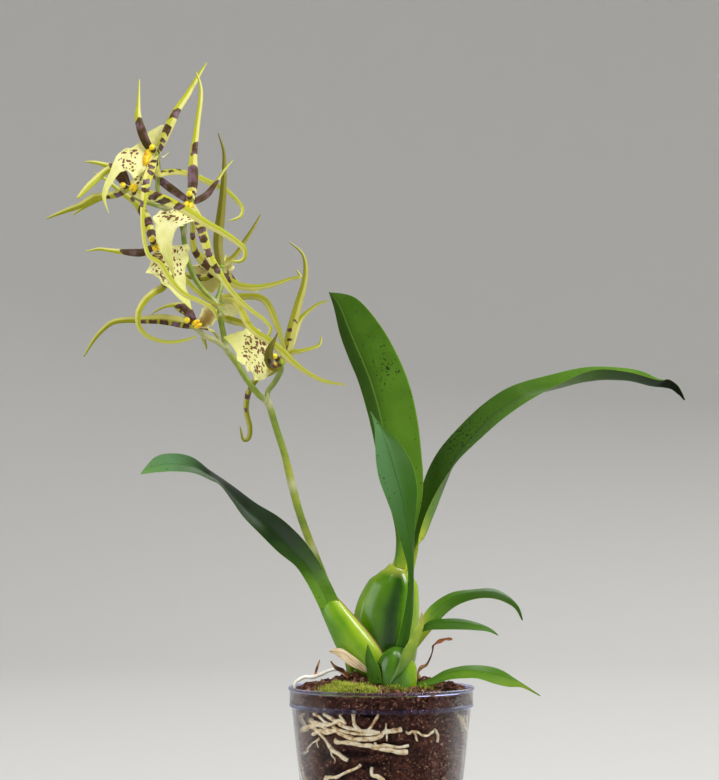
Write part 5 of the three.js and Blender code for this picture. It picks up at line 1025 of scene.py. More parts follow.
# Each flower: its middle, its anther cap, its callus and how plump that is, its tepals, and its lip's
# two margins, share of spots, olive tint (painted shade in its middle), and from where to where along it
# the spots lie. A tepal is how far it is painted dull olive as shade, mostly where it is seen from behind,
# its dark patches, and its [x, y, z, width] rows. A patch is [start, stop, left, right, slant]:
# millimetres along, shares of the half width across, and its lean forward.
FLOWERS = {
    'a': {
        'hub': [-146.5, -11, 451], 'cap': [-148, -19.5, 453.8], 'callus': [-151.5, -17.5, 447.5, 1.4],
        'tepals': [
            (0, [dark_to(27.5)],
             [[-147, -12, 452.5, 4], [-151, -19, 455.5, 5.5], [-154.5, -22, 464, 6], [-157, -22, 473.5, 4.5],
              [-157, -20, 482.5, 2.5], [-157, -16, 499, 0.8]]),
            (0, [[0.5, 2.3, -0.3, 1.2, 0], [3, 7.4, -0.2, 1.2, 0], [8.2, 11.2, -0.6, 0.8, 0],
                 [14.4, 20.4, -1.2, 0.7, -1], [25.4, 33.5, -0.9, 1.2, 1.5]],
             [[-145.5, -12, 452, 4.5], [-141, -17, 459.5, 5.5], [-136, -18, 470.5, 6], [-132.5, -15, 479, 5],
              [-126, -9, 491, 4], [-120.5, -3, 503, 2.8], [-114.5, 0, 514, 0.8]]),
            (0.5, [],
             [[-145.5, -10, 450.5, 3], [-144.5, -4, 450.5, 2.4], [-143.5, 3, 451.5, 1.8],
              [-142.5, 11, 454, 1.3], [-141, 18, 457.5, 0.7]]),
            (0, [[3, 6.5, -1, 1, 0], [8.8, 12.4, -0.9, 1, -1], [13.6, 17.4, -1, 0.6, -1.5],
                 [21.8, 26.4, -0.7, 0.9, 1], [28.4, 32, -1.2, 1.2, 0], [37, 42, -0.2, 1.2, 1]],
             [[-147.5, -13, 448, 4.5], [-148.5, -20, 440, 6], [-150.5, -27, 430, 6],
              [-151.5, -31, 418.5, 4.5], [-152.5, -33, 407.5, 2.8], [-151, -35, 391, 2.6],
              [-147.5, -37, 380.5, 2.8], [-140.5, -38, 375.5, 3.5], [-134, -40, 365.5, 4],
              [-126, -41, 356.5, 3.5], [-115.5, -40, 351.5, 3], [-107, -37, 346.5, 2.5],
              [-104, -34, 340, 1]]),
            (0, [[3, 8, -1, 1, 0], [15, 20, -1.2, -0.2, 0], [22, 27, -0.6, 0.2, 0], [30, 34, -1.2, -0.3, 0]],
             [[-146.5, -12, 450, 4], [-146.5, -13, 444.5, 4.5], [-145.5, -12, 439, 4.5],
              [-143.5, -10.5, 438, 4.5], [-139.5, -5, 440, 4.5], [-131.5, 2, 441.5, 4],
              [-121.5, 9, 439.5, 4], [-112.5, 15, 436.5, 4], [-103.5, 20, 433, 3.5], [-96, 22, 426.5, 3],
              [-92, 22, 420.5, 2.5], [-93.5, 18, 414.5, 2], [-100.5, 14, 411, 1]]),
        ],
        'lip': (
            [[-146.5, -15.5, 449.5], [-141, -13, 469], [-149, -15, 466], [-155.5, -18, 458],
             [-161.5, -22, 453], [-166.5, -26, 450.5], [-170.5, -29, 445], [-173.5, -30, 436.5],
             [-177, -31, 428], [-178.5, -31, 419.5], [-174.5, -30, 409]],
            [[-149.5, -16, 444], [-152, -18, 440], [-155, -21, 436.5], [-158.5, -23, 433],
             [-161.5, -25, 435.5], [-164.5, -26, 437.5], [-168, -28, 435], [-171.5, -30, 429.5],
             [-174.5, -31, 423.5], [-176, -31, 417.5], [-174, -30, 409]],
            0.9, 0, [0.25, 0.62])},
    'b': {
        'hub': [-163.5, -14, 427.5], 'cap': [-166.5, -21, 428.8], 'callus': [-160, -19, 427.5, 0.9],
        'tepals': [
            (0, [dark_to(22)],
             [[-163.5, -14, 428, 4], [-167.5, -13, 437.5, 6], [-172, -12, 441.5, 5], [-181, -10, 444.5, 3],
              [-187, -9, 446, 2.2], [-193, -8, 446.5, 0.8]]),
            (0.1, [dark_to(17)],
             [[-164, -15, 428, 4], [-169, -17, 435, 6], [-174, -18, 439.5, 5], [-177.5, -21, 438, 4.5],
              [-182, -25, 433, 4.5], [-187.5, -31, 426, 4.2], [-193, -38, 417.5, 2]]),
            (0.35, [[4, 9, -1.2, 0.3, 0], [12, 15, -1.2, 0, 0]],
             [[-165, -15, 427, 4], [-171.5, -17, 423.5, 5], [-179, -18, 422.5, 4.5], [-185.5, -19, 421, 5],
              [-194, -19, 416, 4], [-204, -18, 412.5, 3], [-216.5, -15, 408, 1]]),
            (0.2, [dark_to(12)],
             [[-165, -13, 427, 4], [-175, -9, 424.5, 4], [-183.5, -6, 422.5, 3.5], [-192.5, -4, 418, 2.5],
              [-201.5, -2, 412.5, 0.8]]),
            (0, [[3, 6.5, -0.9, 0.9, 0], [18.3, 26, -1.1, 0.8, -3], [28.6, 37.3, -0.6, 1.2, -4],
                 [41.9, 48.6, -0.9, 0.9, -1.5]],
             [[-163, -15, 427, 4], [-155.5, -18, 423.5, 7], [-148.5, -23, 421.5, 7.2],
              [-140.5, -29, 418.5, 6.5], [-130.5, -37, 413, 6], [-121.5, -42, 407.5, 5.5],
              [-111, -44, 400.5, 5], [-99.5, -44, 394, 4.2], [-90, -43, 387.5, 3.6], [-86.5, -42, 383, 3],
              [-87.5, -41, 378, 2.6], [-91.5, -40, 376.5, 2], [-95, -39, 377.5, 1]]),
        ],
        'lip': (
            [[-162, -18, 426.5], [-161.5, -19, 432], [-158.5, -18, 437.5], [-154.5, -14, 442],
             [-151, -8, 444.5]],
            [[-159.5, -18, 426], [-155, -17, 429], [-152, -13, 433.5], [-149.5, -9, 439], [-150, -7, 444]],
            0.8, 0, [0.1, 0.6])},
    'c': {
        'hub': [-123, -20, 417.5], 'cap': [-123, -28, 422], 'callus': [-123.5, -27, 415, 1.05],
        'tepals': [
            (0, [[0.5, 2.4, -1, 1, 0], [5, 7.6, 0, 1.2, 0], [9, 24, -1.2, 1.2, 0],
                 [30.5, 39.5, -0.7, 1.2, 2]],
             [[-123, -21, 418.5, 5], [-121.5, -21, 428.5, 6.5], [-121.5, -20, 436, 7],
              [-121.5, -19, 445.5, 5.5], [-120.5, -17, 457.5, 4.3], [-119, -14, 473, 3.5],
              [-117.5, -11, 488, 3], [-118, -9, 497.5, 2], [-121, -8, 506, 0.8]]),
            (0, [dark_to(54)],
             [[-124, -20, 418.5, 4], [-131.5, -14, 424.5, 5.5], [-138, -7, 430, 6], [-144, 0, 435.5, 5.5],
              [-148.5, 7, 439.5, 4], [-153, 15, 443.5, 2.5], [-155.5, 23, 446, 0.8]]),
            (0, [dark_to(24)],
             [[-122, -20, 418, 4], [-117, -19, 420, 4.5], [-112.5, -17, 423.5, 4.5], [-109, -15, 428.5, 3.5],
              [-105, -13, 435, 2], [-101.5, -11, 441, 1.6], [-96.5, -8, 447.5, 0.8]]),
            (0, [[12.4, 15, -0.7, 0.9, 0], [16.6, 21.2, -0.9, 0.9, 0], [22.4, 28, -0.7, 1.1, 0],
                 [32.4, 38, -0.9, 0.8, 0], [44, 50.4, -0.9, 1.1, 0]],
             [[-122.5, -20, 416.5, 4], [-119.5, -20, 409.5, 6.5], [-116.5, -21, 402.5, 6.8],
              [-113.5, -23, 393, 6], [-110, -25, 382, 5.2], [-104.5, -26, 372.5, 4.5], [-98, -28, 362, 3.6],
              [-90.5, -28, 353.5, 3], [-82.5, -27, 346.5, 2.8], [-75, -26, 341, 2.4], [-71, -25, 336, 2.2],
              [-72, -25, 331.5, 1.8], [-75.5, -25, 328.5, 1]]),
            (0.35, [[18, 23, -0.8, 0.9, 0], [30.2, 35.2, -0.8, 1.2, 1], [39.7, 46.6, -1, 0.9, 1],
                 [57.7, 63.2, -1.2, 0.6, 1]],
             [[-122.5, -19, 416.5, 4], [-122, -16.5, 409.5, 3.5], [-122, -13, 400, 3.5],
              [-121.5, -11, 390.5, 4.5], [-116.5, -12, 382, 6], [-108.5, -15, 374.5, 6],
              [-100, -16, 368.5, 5.5], [-91, -16, 364, 5], [-79.5, -14, 363.5, 4], [-68, -12, 366, 3],
              [-58.5, -10, 369.5, 2.2], [-52.5, -9, 371, 2], [-55, -7, 375.5, 1]]),
        ],
        'lip': (
            [[-124, -20.5, 417], [-125.5, -25, 414.5], [-134, -29, 411.5], [-141.5, -32, 410],
             [-145, -34, 405.5], [-144, -35, 399], [-143, -35, 391], [-140.5, -34, 383.5],
             [-136.5, -33, 375.5], [-132, -33, 367]],
            [[-122, -20.5, 417], [-121.5, -24, 413.5], [-118, -26, 410], [-119, -29, 405], [-124, -32, 402],
             [-128.5, -34, 400], [-131.5, -35, 396], [-133, -35, 389], [-132.5, -34, 379.5],
             [-131.5, -33, 367.5]],
            1, 0, [0.08, 0.5])},
    'd': {
        'hub': [-145.5, -22, 388.5], 'cap': [-146.8, -29.5, 392.5], 'callus': [-143.5, -29, 387, 1],
        'tepals': [
            (0, [[2, 4, -1, 1, 0], [6.3, 11.6, -1.2, 1.2, 0], [15, 24.8, -0.8, 1.2, 1],
                 [30.1, 39, -1.3, 0.3, 2], [46, 50, -0.6, 1.2, 1]],
             [[-146, -22, 390, 4.5], [-149, -18, 400, 6], [-151.5, -11, 407, 6.2], [-155.5, -3, 414.5, 6],
              [-161.5, 5, 422.5, 5], [-171, 9, 429.5, 3.5], [-180.5, 11, 437.5, 2.2],
              [-189.5, 12, 443, 0.8]]),
            (0, [dark_to(24)],
             [[-146.5, -23, 388.5, 4], [-152.5, -23, 385, 5], [-159, -21, 385, 5], [-167, -18, 386, 3.5],
              [-176, -15, 387.5, 2.5], [-183, -13, 388.5, 2], [-191, -12, 387, 0.8]]),
            (0.1, [dark_to(16)],
             [[-145, -21, 390, 4], [-141, -13, 394.5, 4.5], [-139.5, -5, 396.5, 4], [-138.5, 4, 397.5, 2.5],
              [-138.5, 14, 398, 0.8]]),
            (0.25, [[4, 8, -1, 1, 0], [12, 17, -0.9, 0.9, 1], [22, 27, -1.1, 0.7, 0]],
             [[-145, -21, 387, 4], [-142.5, -18, 379.5, 5.5], [-139, -18, 370.5, 5.5], [-140, -21, 363, 5],
              [-146, -25, 358.5, 4.5], [-151.5, -28, 352.5, 4.2], [-155, -30, 344.5, 3.8],
              [-154, -29, 335.5, 3.2], [-147.5, -27, 329.5, 2.8], [-136.5, -23, 327, 2.4],
              [-126, -20, 328.5, 2], [-118.5, -18, 331.5, 1]]),
            (0.15, [[4, 8, -1, 1, 0], [12, 15, -0.8, 0.8, 0]],
             [[-144, -20, 387, 4], [-137.5, -15, 380.5, 5], [-131.5, -13, 374, 4.5], [-125.5, -13, 367.5, 4],
              [-119.5, -12, 361.5, 3.2], [-113.5, -10, 356.5, 2.6], [-107, -9, 353, 2],
              [-100.5, -8, 352.5, 1]]),
        ],
        'lip': (
            [[-146.5, -22.5, 388], [-145.5, -26.5, 386], [-147.5, -26.5, 382], [-148, -26, 377.5],
             [-150, -27, 371.5], [-144, -28, 369], [-139.5, -28, 364], [-134.5, -28, 359.5],
             [-128, -28, 353.5], [-121.5, -27, 347.5]],
            [[-144.5, -22.5, 388], [-142, -26, 387.5], [-133, -24, 389], [-125, -22, 390], [-123, -21, 386],
             [-125, -21, 377.5], [-126, -22, 370.5], [-125, -23, 363], [-123, -25, 356], [-121, -27, 347.5]],
            1, 0, [0.12, 0.72])},
    'e': {
        'hub': [-105.5, 15, 381], 'cap': [-105.5, 23, 385.5], 'callus': [-105.5, 24, 381, 1],
        'tepals': [
            (0.85, [],
             [[-105.5, 14, 381.5, 5], [-107, 15, 390.5, 6.2], [-107.5, 16, 398.5, 6.6],
              [-106.5, 16, 409.5, 6.2], [-105, 15, 422.5, 5.2], [-104, 14, 434.5, 4.2],
              [-103.5, 13, 446.5, 3], [-104, 12, 458, 2], [-107.5, 10, 469, 0.8]]),
            (0.6, [],
             [[-104.5, 15.5, 381.5, 3.5], [-100.5, 18, 384.5, 4], [-95, 19, 390.5, 3.5], [-90, 19, 398.5, 3],
              [-84.5, 18, 407, 2.2], [-79.5, 17, 416, 0.8]]),
            (0.5, [dark_to(12)],
             [[-106.5, 15.5, 381.5, 3.5], [-111, 18, 386, 4], [-116.5, 24, 389, 3.5], [-121, 33, 391, 2.5],
              [-125, 42, 393, 0.8]]),
            (0.7, [[5, 10, -1, 1, 0], [15, 20, -1, 0.8, 0]],
             [[-106.5, 15, 380, 4], [-112, 17, 376, 5], [-117, 18.5, 374, 5], [-123, 18.5, 374.5, 4.5],
              [-130, 19, 376, 3.5], [-138, 21, 379, 2.2], [-145, 25, 383, 0.8]]),
            (0.4, [[4, 7, -0.8, 0.9, 0], [9.5, 13.5, -1.2, 0.8, 1], [17, 21.5, -0.8, 1.2, -1],
                 [27, 31, -0.7, 0.7, 1]],
             [[-104.5, 16, 380, 4], [-101, 20, 376, 5], [-96.5, 24, 372, 4.5], [-91.5, 30, 369, 3.5],
              [-86.5, 38, 368, 2.2], [-82.5, 48, 368, 0.8]]),
        ],
        'lip': (
            [[-107, 20, 379], [-117, 25, 381], [-125.5, 28, 383.5], [-125.5, 31, 376.5], [-120, 34, 369],
             [-113.5, 36, 366]],
            [[-104, 20, 380.5], [-102, 25, 389.5], [-98.5, 30, 386], [-99.5, 32, 379.5], [-106, 35, 372],
             [-112, 36, 366.5]],
            0.7, 0.5, [0.05, 0.5])},
    'f': {
        'hub': [-105.5, 11, 357.5], 'cap': [-105.5, 19.5, 361.5], 'callus': [-104, 18, 356.5, 1],
        'tepals': [
            (0.45, [],
             [[-107, 10, 358.5, 4.5], [-101.5, 10, 359.5, 5.5], [-95, 9, 359.8, 5], [-88, 7, 360, 4.5],
              [-80, 3, 359, 4.5], [-74.5, -2, 355, 4.5], [-70, -7, 346, 4.5], [-65.5, -13, 334, 3.6],
              [-63, -16, 325.5, 2.6], [-60, -18, 318.5, 1]]),
            (0.25, [],
             [[-104, 9, 357.5, 4], [-99, 5, 357, 4.5], [-94.5, 0, 354.5, 5], [-89.5, -12, 346.5, 5],
              [-85, -24, 338, 4.5], [-79.5, -31, 332, 4.5], [-74, -34, 328.5, 4.5], [-69, -36, 325, 5],
              [-62.5, -37, 319, 5], [-55.5, -37, 312.5, 4], [-46.5, -36, 306, 3], [-36, -34, 301, 2.4],
              [-23, -32, 299, 1]]),
            (0.45, [],
             [[-106, 9, 356, 4], [-106, 8, 350, 4.5], [-103.5, 8, 346, 4.5], [-99.5, 4, 344.5, 5],
              [-94.5, -1, 342.5, 5], [-89.5, -6, 340.5, 4], [-85, -9, 337.5, 2.5], [-80, -12, 334, 0.8]]),
            (0.3, [dark_to(14)],
             [[-106.5, 12, 357.5, 4], [-110, 18, 355, 4.5], [-112.5, 26, 352, 4], [-114, 35, 349, 2.5],
              [-114, 45, 346.5, 0.8]]),
            (0.3, [dark_to(15)],
             [[-104.5, 12.5, 358, 4], [-102, 21, 361, 4.5], [-100.5, 29, 363.5, 4], [-99.5, 38, 364.5, 2.5],
              [-99, 48, 365, 0.8]]),
        ],
        'lip': (
            [[-106.5, 15, 355.5], [-105, 19, 352], [-103.5, 25, 348.5], [-100.5, 33, 347.5],
             [-98.5, 40, 347.5]],
            [[-103.5, 15, 356.5], [-97, 19, 357.5], [-95.5, 25, 355], [-96.5, 32, 351], [-97.5, 40, 348]],
            0.4, 0.05, [0.1, 0.4])},
    'g': {
        'hub': [-120.5, -14, 338.5], 'cap': [-124.5, -21.5, 341.3], 'callus': [-118.5, -19, 339, 1],
        'tepals': [
            (0.1, [[-5, 19, -1.3, 1.3, -3]],
             [[-120.5, -15, 339.5, 4], [-122.5, -18, 345, 5.5], [-126, -18, 349.5, 5.5],
              [-131, -17, 351.5, 4], [-137, -15, 351.5, 2.2], [-143, -13, 349.5, 1.6],
              [-148, -12, 346.5, 0.8]]),
            (0.45, [[2, 6.6, -1.2, -0.05, -2], [8, 14.2, -1.2, -0.05, -2], [15.8, 21.8, -1.2, -0.05, -2],
                 [23.4, 29, -1.2, -0.05, -2], [30.6, 35, -1.2, 0, -2]],
             [[-121, -15, 338, 4], [-127, -17, 340, 7], [-134.5, -17, 341.5, 7], [-143.5, -17, 342.5, 6.5],
              [-152.5, -17, 342, 5], [-163, -17, 342, 4], [-172.5, -17, 340.5, 3.5], [-179.5, -16, 335.5, 3],
              [-185.5, -15, 328.5, 2.4], [-191.5, -14, 318.5, 1]]),
            (0.3, [dark_to(10)],
             [[-119.5, -13, 338, 4], [-114, -6, 337.5, 5], [-110, 0, 336.5, 4.5], [-108, 8, 335, 3.5],
              [-107, 16, 333, 2], [-106.5, 24, 331, 0.8]]),
            (0.2, [[3, 6.5, -1.2, 1.2, 0], [9, 14, -0.9, 1.2, -1], [17.5, 23, -1.2, 0.8, 1],
                 [28, 33, -0.8, 0.8, 0]],
             [[-121, -13, 339, 4], [-125, -8, 346, 5], [-129, 0, 349.5, 5], [-133, 10, 352.5, 4],
              [-136, 21, 355.5, 2.5], [-138.5, 33, 357.5, 0.8]]),
            (0.4, [],
             [[-120, -12, 338, 4], [-118.3, -5, 337.2, 4.5], [-117, 2, 335, 4], [-116, 7, 331.5, 3],
              [-115, 10, 328.5, 2], [-114.5, 12, 325.5, 0.8]]),
        ],
        'lip': (
            [[-120.5, -18, 339], [-116.5, -21, 344], [-114.5, -20, 349.5], [-112, -16, 352],
             [-109.5, -10, 353]],
            [[-118, -17, 336.5], [-110.5, -19, 337], [-106, -18, 342], [-106, -14, 347.5], [-108, -9, 352]],
            0.3, 0.95, [0.1, 0.4])},
    'h': {
        'hub': [-64.5, -9, 314.5], 'cap': [-68.5, -17, 318.5], 'callus': [-70, -18, 312, 1],
        'tepals': [
            (0.5, [[3, 5, -1, 1, 0], [8, 12, -1.1, 0.1, 1], [14.5, 17, -0.5, 0.6, 0],
                 [20.5, 23.5, -0.9, 0.2, 0], [28, 30, -0.2, 0.9, 0]],
             [[-64.5, -10, 315.5, 4.5], [-61, -8, 322.5, 6], [-59, -7, 332.5, 6.2], [-56.5, -6, 343, 5.8],
              [-53.5, -5, 354.5, 5], [-50.5, -4, 365, 4.2], [-49, -3, 376, 3.2], [-51, -3, 386.5, 2],
              [-59.5, -3, 394.5, 0.8]]),
            (0.95, [[-5, 26, -0.4, 0.4, 0]],
             [[-65, -11, 313, 4], [-68.5, -20, 311, 5.2], [-71, -30, 313.5, 6], [-71.3, -38, 318.5, 5.4],
              [-69.5, -42, 323, 3.8], [-67.3, -43, 327, 2], [-65.5, -42.5, 331, 0.8]]),
            (0.15, [],
             [[-64, -8, 316, 4], [-59, 0, 327.5, 5], [-56, 4, 337, 4.5], [-52.5, 6, 345, 3.4],
              [-46.5, 6, 351, 2.4], [-40.5, 5, 355, 1.8], [-34, 4, 357, 0.8]]),
            (0.2, [],
             [[-64, -9, 315, 4], [-58, -12, 321, 3.8], [-52.5, -14, 322, 3], [-46, -14, 323.5, 2.5],
              [-40, -13, 326, 2], [-38.5, -12, 331.5, 1]]),
            (0.6, [[20, 24, -1, 1, 0], [30, 34, -0.8, 1.2, 0], [37, 41, -1.2, 0.9, 0],
                 [46, 49, -0.7, 0.7, 0]],
             [[-65.5, -8, 313.5, 4], [-71, -2, 310, 4.5], [-77, 4, 308, 4.5], [-82.5, 10, 304.5, 4],
              [-87, 14, 297, 3.8], [-88.5, 15, 286, 3.6], [-86, 14, 275, 3.4], [-86.5, 12, 267.5, 3],
              [-90, 11, 266.5, 2.2], [-92, 10, 274.5, 1]]),
        ],
        'lip': (
            [[-68.5, -14.5, 314], [-72.5, -18, 321], [-72.5, -20, 327.5], [-77.5, -18, 333.5],
             [-84, -16, 337.5], [-89.5, -16, 335], [-95.5, -14, 333.5], [-101.5, -12, 331.5]],
            [[-69, -14.5, 310], [-75, -22, 303.5], [-80, -24, 302], [-82.5, -26, 306.5], [-87, -26, 311],
             [-91.5, -24, 315], [-95, -19, 323.5], [-101, -12, 330.5]],
            1, 0, [0.1, 0.72])},
}


def patches(reach, across, half_width, marks):
    """Distance in millimetres from the nearest dark patch, negative inside it: for each patch the
    greater of the distance past its ends and past its sides, and the least of these over all.
    The patches bulge forward along the midrib."""
    apart = np.full(np.broadcast(reach, across).shape, FARTHEST)
    for start, stop, left, right, slant in marks:
        ahead = reach - slant * across + BULGE * across ** 2
        ends = np.abs(ahead - (start + stop) / 2) - (stop - start) / 2
        sides = (np.abs(across - (left + right) / 2) - (right - left) / 2) * half_width
        apart = np.minimum(apart, np.maximum(ends, sides))
    return np.clip(apart, -FARTHEST, FARTHEST)


def tepal(rows, olive, marks):
    """A narrow blade along [x, y, z, width] rows, its face to the front, with what its colours need."""
    path = spline(rows, TEPAL_STEPS)
    ahead = unit(np.gradient(path[:, :3], axis=0))
    side = unit(np.cross(ahead, (0, -1, 1.5 * ahead[:, 1].mean() ** 4)))
    half = np.maximum(path[:, 3:], LEAST_WIDTH) / 2
    rings, facts = blade(path[:, :3] - side * half, path[:, :3] + side * half, TEPAL_STEPS, TEPAL_THICKNESS,
                         TEPAL_FOLD, across=TEPAL_ACROSS)
    reach = along(rings)
    across = facts['across'] / half
    return skin(rings, across=across, under=facts['under'], share=reach / reach[-1],
                apart=patches(reach, across, half, marks), olive=olive)


# Tepal: waxy and yellow-green, one half of each painted paler as light falling on that side of its fold,
# some painted dull olive as shade, with blotches of dark purple-brown that look painted on, and weaker
# behind.
tepal_skin = finish('tepal', Roughness=0.4, Specular_IOR_Level=0.2, Subsurface_Weight=0.12,
                    Subsurface_Radius=(0.6, 1.0, 0.2), Subsurface_Scale=1.2 * MM)
place = add(tepal_skin, 'TexCoord', output='Object')
share, across, under, apart, olive = (
    add(tepal_skin, 'Attribute', output='Fac', attribute_name=fact)
    for fact in ('share', 'across', 'under', 'apart', 'olive'))
cloud = add(tepal_skin, 'TexNoise', {'Vector': place, 'Scale': 1 / (6 * MM), 'Detail': 4})
fine = add(tepal_skin, 'TexNoise', {'Vector': place, 'Scale': 1 / (2.2 * MM), 'Detail': 4})
length = add(tepal_skin, 'Math', [cloud, 0.4, share], operation='MULTIPLY_ADD')
ground = add(tepal_skin, 'ValToRGB', [length],
             stops={0.15: '#d4d07e', 0.35: '#c3c140', 0.6: '#b2b424', 1.2 / 1.4: '#aaae1e'})
# Painted shade: tepals in shade, mostly those seen from behind, are painted dull olive.
olive_shaded_ground = add(tepal_skin, 'MixRGB', [olive, ground, '#625c06'])
# Painted light: the right half, seen from the front, is painted paler up to its own margin, less so
# where the tepal is painted olive.
painted_light_half = add(tepal_skin, 'MapRange', [across, 0.0, 0.18, 0.0, 0.65])
wane = add(tepal_skin, 'MapRange', [olive, 0.0, 1.0, 1.0, 0.1])
painted_light_half = add(tepal_skin, 'Math', [painted_light_half, wane], operation='MULTIPLY')
halves = add(tepal_skin, 'MixRGB', [painted_light_half, olive_shaded_ground, '#ece495'])
jog = add(tepal_skin, 'Math', [fine, 2.6, apart], operation='MULTIPLY_ADD')
dark = add(tepal_skin, 'MapRange', [jog, 1.0, 1.35, 0.95, 0.0])
behind = add(tepal_skin, 'MapRange', [under, 0.0, 1.0, 0.6, 1.0])
dark = add(tepal_skin, 'Math', [dark, behind], operation='MULTIPLY')
purple = add(tepal_skin, 'ValToRGB', [cloud], stops={0.36: '#2b0e08', 0.5: '#48211d', 0.66: '#76566e'})
add(tepal_skin, 'MixRGB', [dark, halves, purple], to='Base Color')
veins = add(tepal_skin, 'Math', [across, 16.0], operation='MULTIPLY')
veins = add(tepal_skin, 'Math', [veins], operation='SINE')
relief = add(tepal_skin, 'Math', [fine, 2.5, veins], operation='MULTIPLY_ADD')
add(tepal_skin, 'Bump', {'Height': relief, 'Strength': 0.3, 'Distance': 0.06 * MM}, output='Normal',
    to='Normal')

# Lip: thin and soft, cream to pale yellow-green, with short brown dashes along its veins, and olive
# painted shade down its middle.
lip_skin = finish('lip', Roughness=0.5, Specular_IOR_Level=0.3, Subsurface_Weight=0.2,
                  Subsurface_Radius=(1.0, 0.9, 0.4), Subsurface_Scale=1.5 * MM)
place = add(lip_skin, 'TexCoord', output='Object')
reach, across, middle, share, spotted, olive = (
    add(lip_skin, 'Attribute', output='Fac', attribute_name=fact)
    for fact in ('reach', 'across', 'middle', 'share', 'spotted', 'olive'))
cloud = add(lip_skin, 'TexNoise', {'Vector': place, 'Scale': 1 / (9 * MM), 'Detail': 4})
cream = add(lip_skin, 'ValToRGB', [cloud], stops={0.3: '#d9d987', 0.62: '#f7f1b4'})
green_tip = add(lip_skin, 'MapRange', [share, 0.5, 1.0, 0.0, 0.85])
rim = add(lip_skin, 'MapRange', [middle, 0.75, 1.0, 0.0, 0.5])
# The olive is painted shade in the lip's middle.
for tint, colour in ((green_tip, '#ccd158'), (rim, '#dfe07a'), (olive, '#7d5f06')):
    cream = add(lip_skin, 'MixRGB', [tint, cream, colour])
# A dash is a cell of a pattern 3 mm long and 1.9 mm wide along the veins, which wander a little.
wander = add(lip_skin, 'TexNoise', {'Vector': place, 'Scale': 1 / (5 * MM), 'Detail': 1})
shifted = add(lip_skin, 'Math', [wander, 2.5, across], operation='MULTIPLY_ADD')
flat = add(lip_skin, 'CombineXYZ', {'X': reach, 'Y': shifted})
flat = add(lip_skin, 'Mapping', {'Vector': flat, 'Scale': (1 / 3.0, 1 / 1.9, 1)})
cells = add(lip_skin, 'TexVoronoi', {'Vector': flat, 'Scale': 1.0, 'Randomness': 1.0}, output='Distance')
size = add(lip_skin, 'TexNoise', {'Vector': place, 'Scale': 1 / (4 * MM), 'Detail': 1})
size = add(lip_skin, 'MapRange', [size, 0.35, 0.6, 0.26, 0.46])
size = add(lip_skin, 'Math', [size, spotted], operation='MULTIPLY')
dash = add(lip_skin, 'Math', [cells, size], operation='SUBTRACT')
dash = add(lip_skin, 'MapRange', [dash, 0.0, 0.06, 1.0, 0.0])
inner = add(lip_skin, 'MapRange', [middle, 0.78, 0.9, 0.95, 0.0])
dash = add(lip_skin, 'Math', [dash, inner], operation='MULTIPLY')
add(lip_skin, 'MixRGB', [dash, cream, '#6b2f18'], to='Base Color')
vein = add(lip_skin, 'Math', [across, 2 * np.pi / 1.6], operation='MULTIPLY')
vein = add(lip_skin, 'Math', [vein], operation='SINE')
vein = add(lip_skin, 'Math', [cloud, 6.0, vein], operation='MULTIPLY_ADD')
add(lip_skin, 'Bump', {'Height': vein, 'Strength': 0.4, 'Distance': 0.1 * MM}, output='Normal', to='Normal')

# Column: pale green and waxy, dark purple-brown at its mouth.
column_skin = finish('column', Roughness=0.4, Coat_Weight=0.2)
share = add(column_skin, 'Attribute', output='Fac', attribute_name='share')
add(column_skin, 'ValToRGB', [share], to='Base Color',
    stops={0.0: '#8fae2c', 0.55: '#a9b63a', 0.7: '#4a2012', 1.0: '#3b1d14'})

# Anther cap and callus: waxy, with a soft mottle, one lemon yellow and the other orange to yellow.
cap_skin = finish('anther cap', Roughness=0.35, Subsurface_Weight=0.15, Subsurface_Scale=1 * MM)
callus_skin = finish('callus', Roughness=0.4, Subsurface_Weight=0.2, Subsurface_Scale=1 * MM)
for waxy, tones in ((cap_skin, {0.3: '#e2c20a', 0.65: '#fbee2c'}),
                    (callus_skin, {0.36: '#f0a000', 0.56: '#ffe41e'})):
    place = add(waxy, 'TexCoord', output='Object')
    cloud = add(waxy, 'TexNoise', {'Vector': place, 'Scale': 1 / (2 * MM), 'Detail': 3})
    add(waxy, 'ValToRGB', [cloud], to='Base Color', stops=tones)

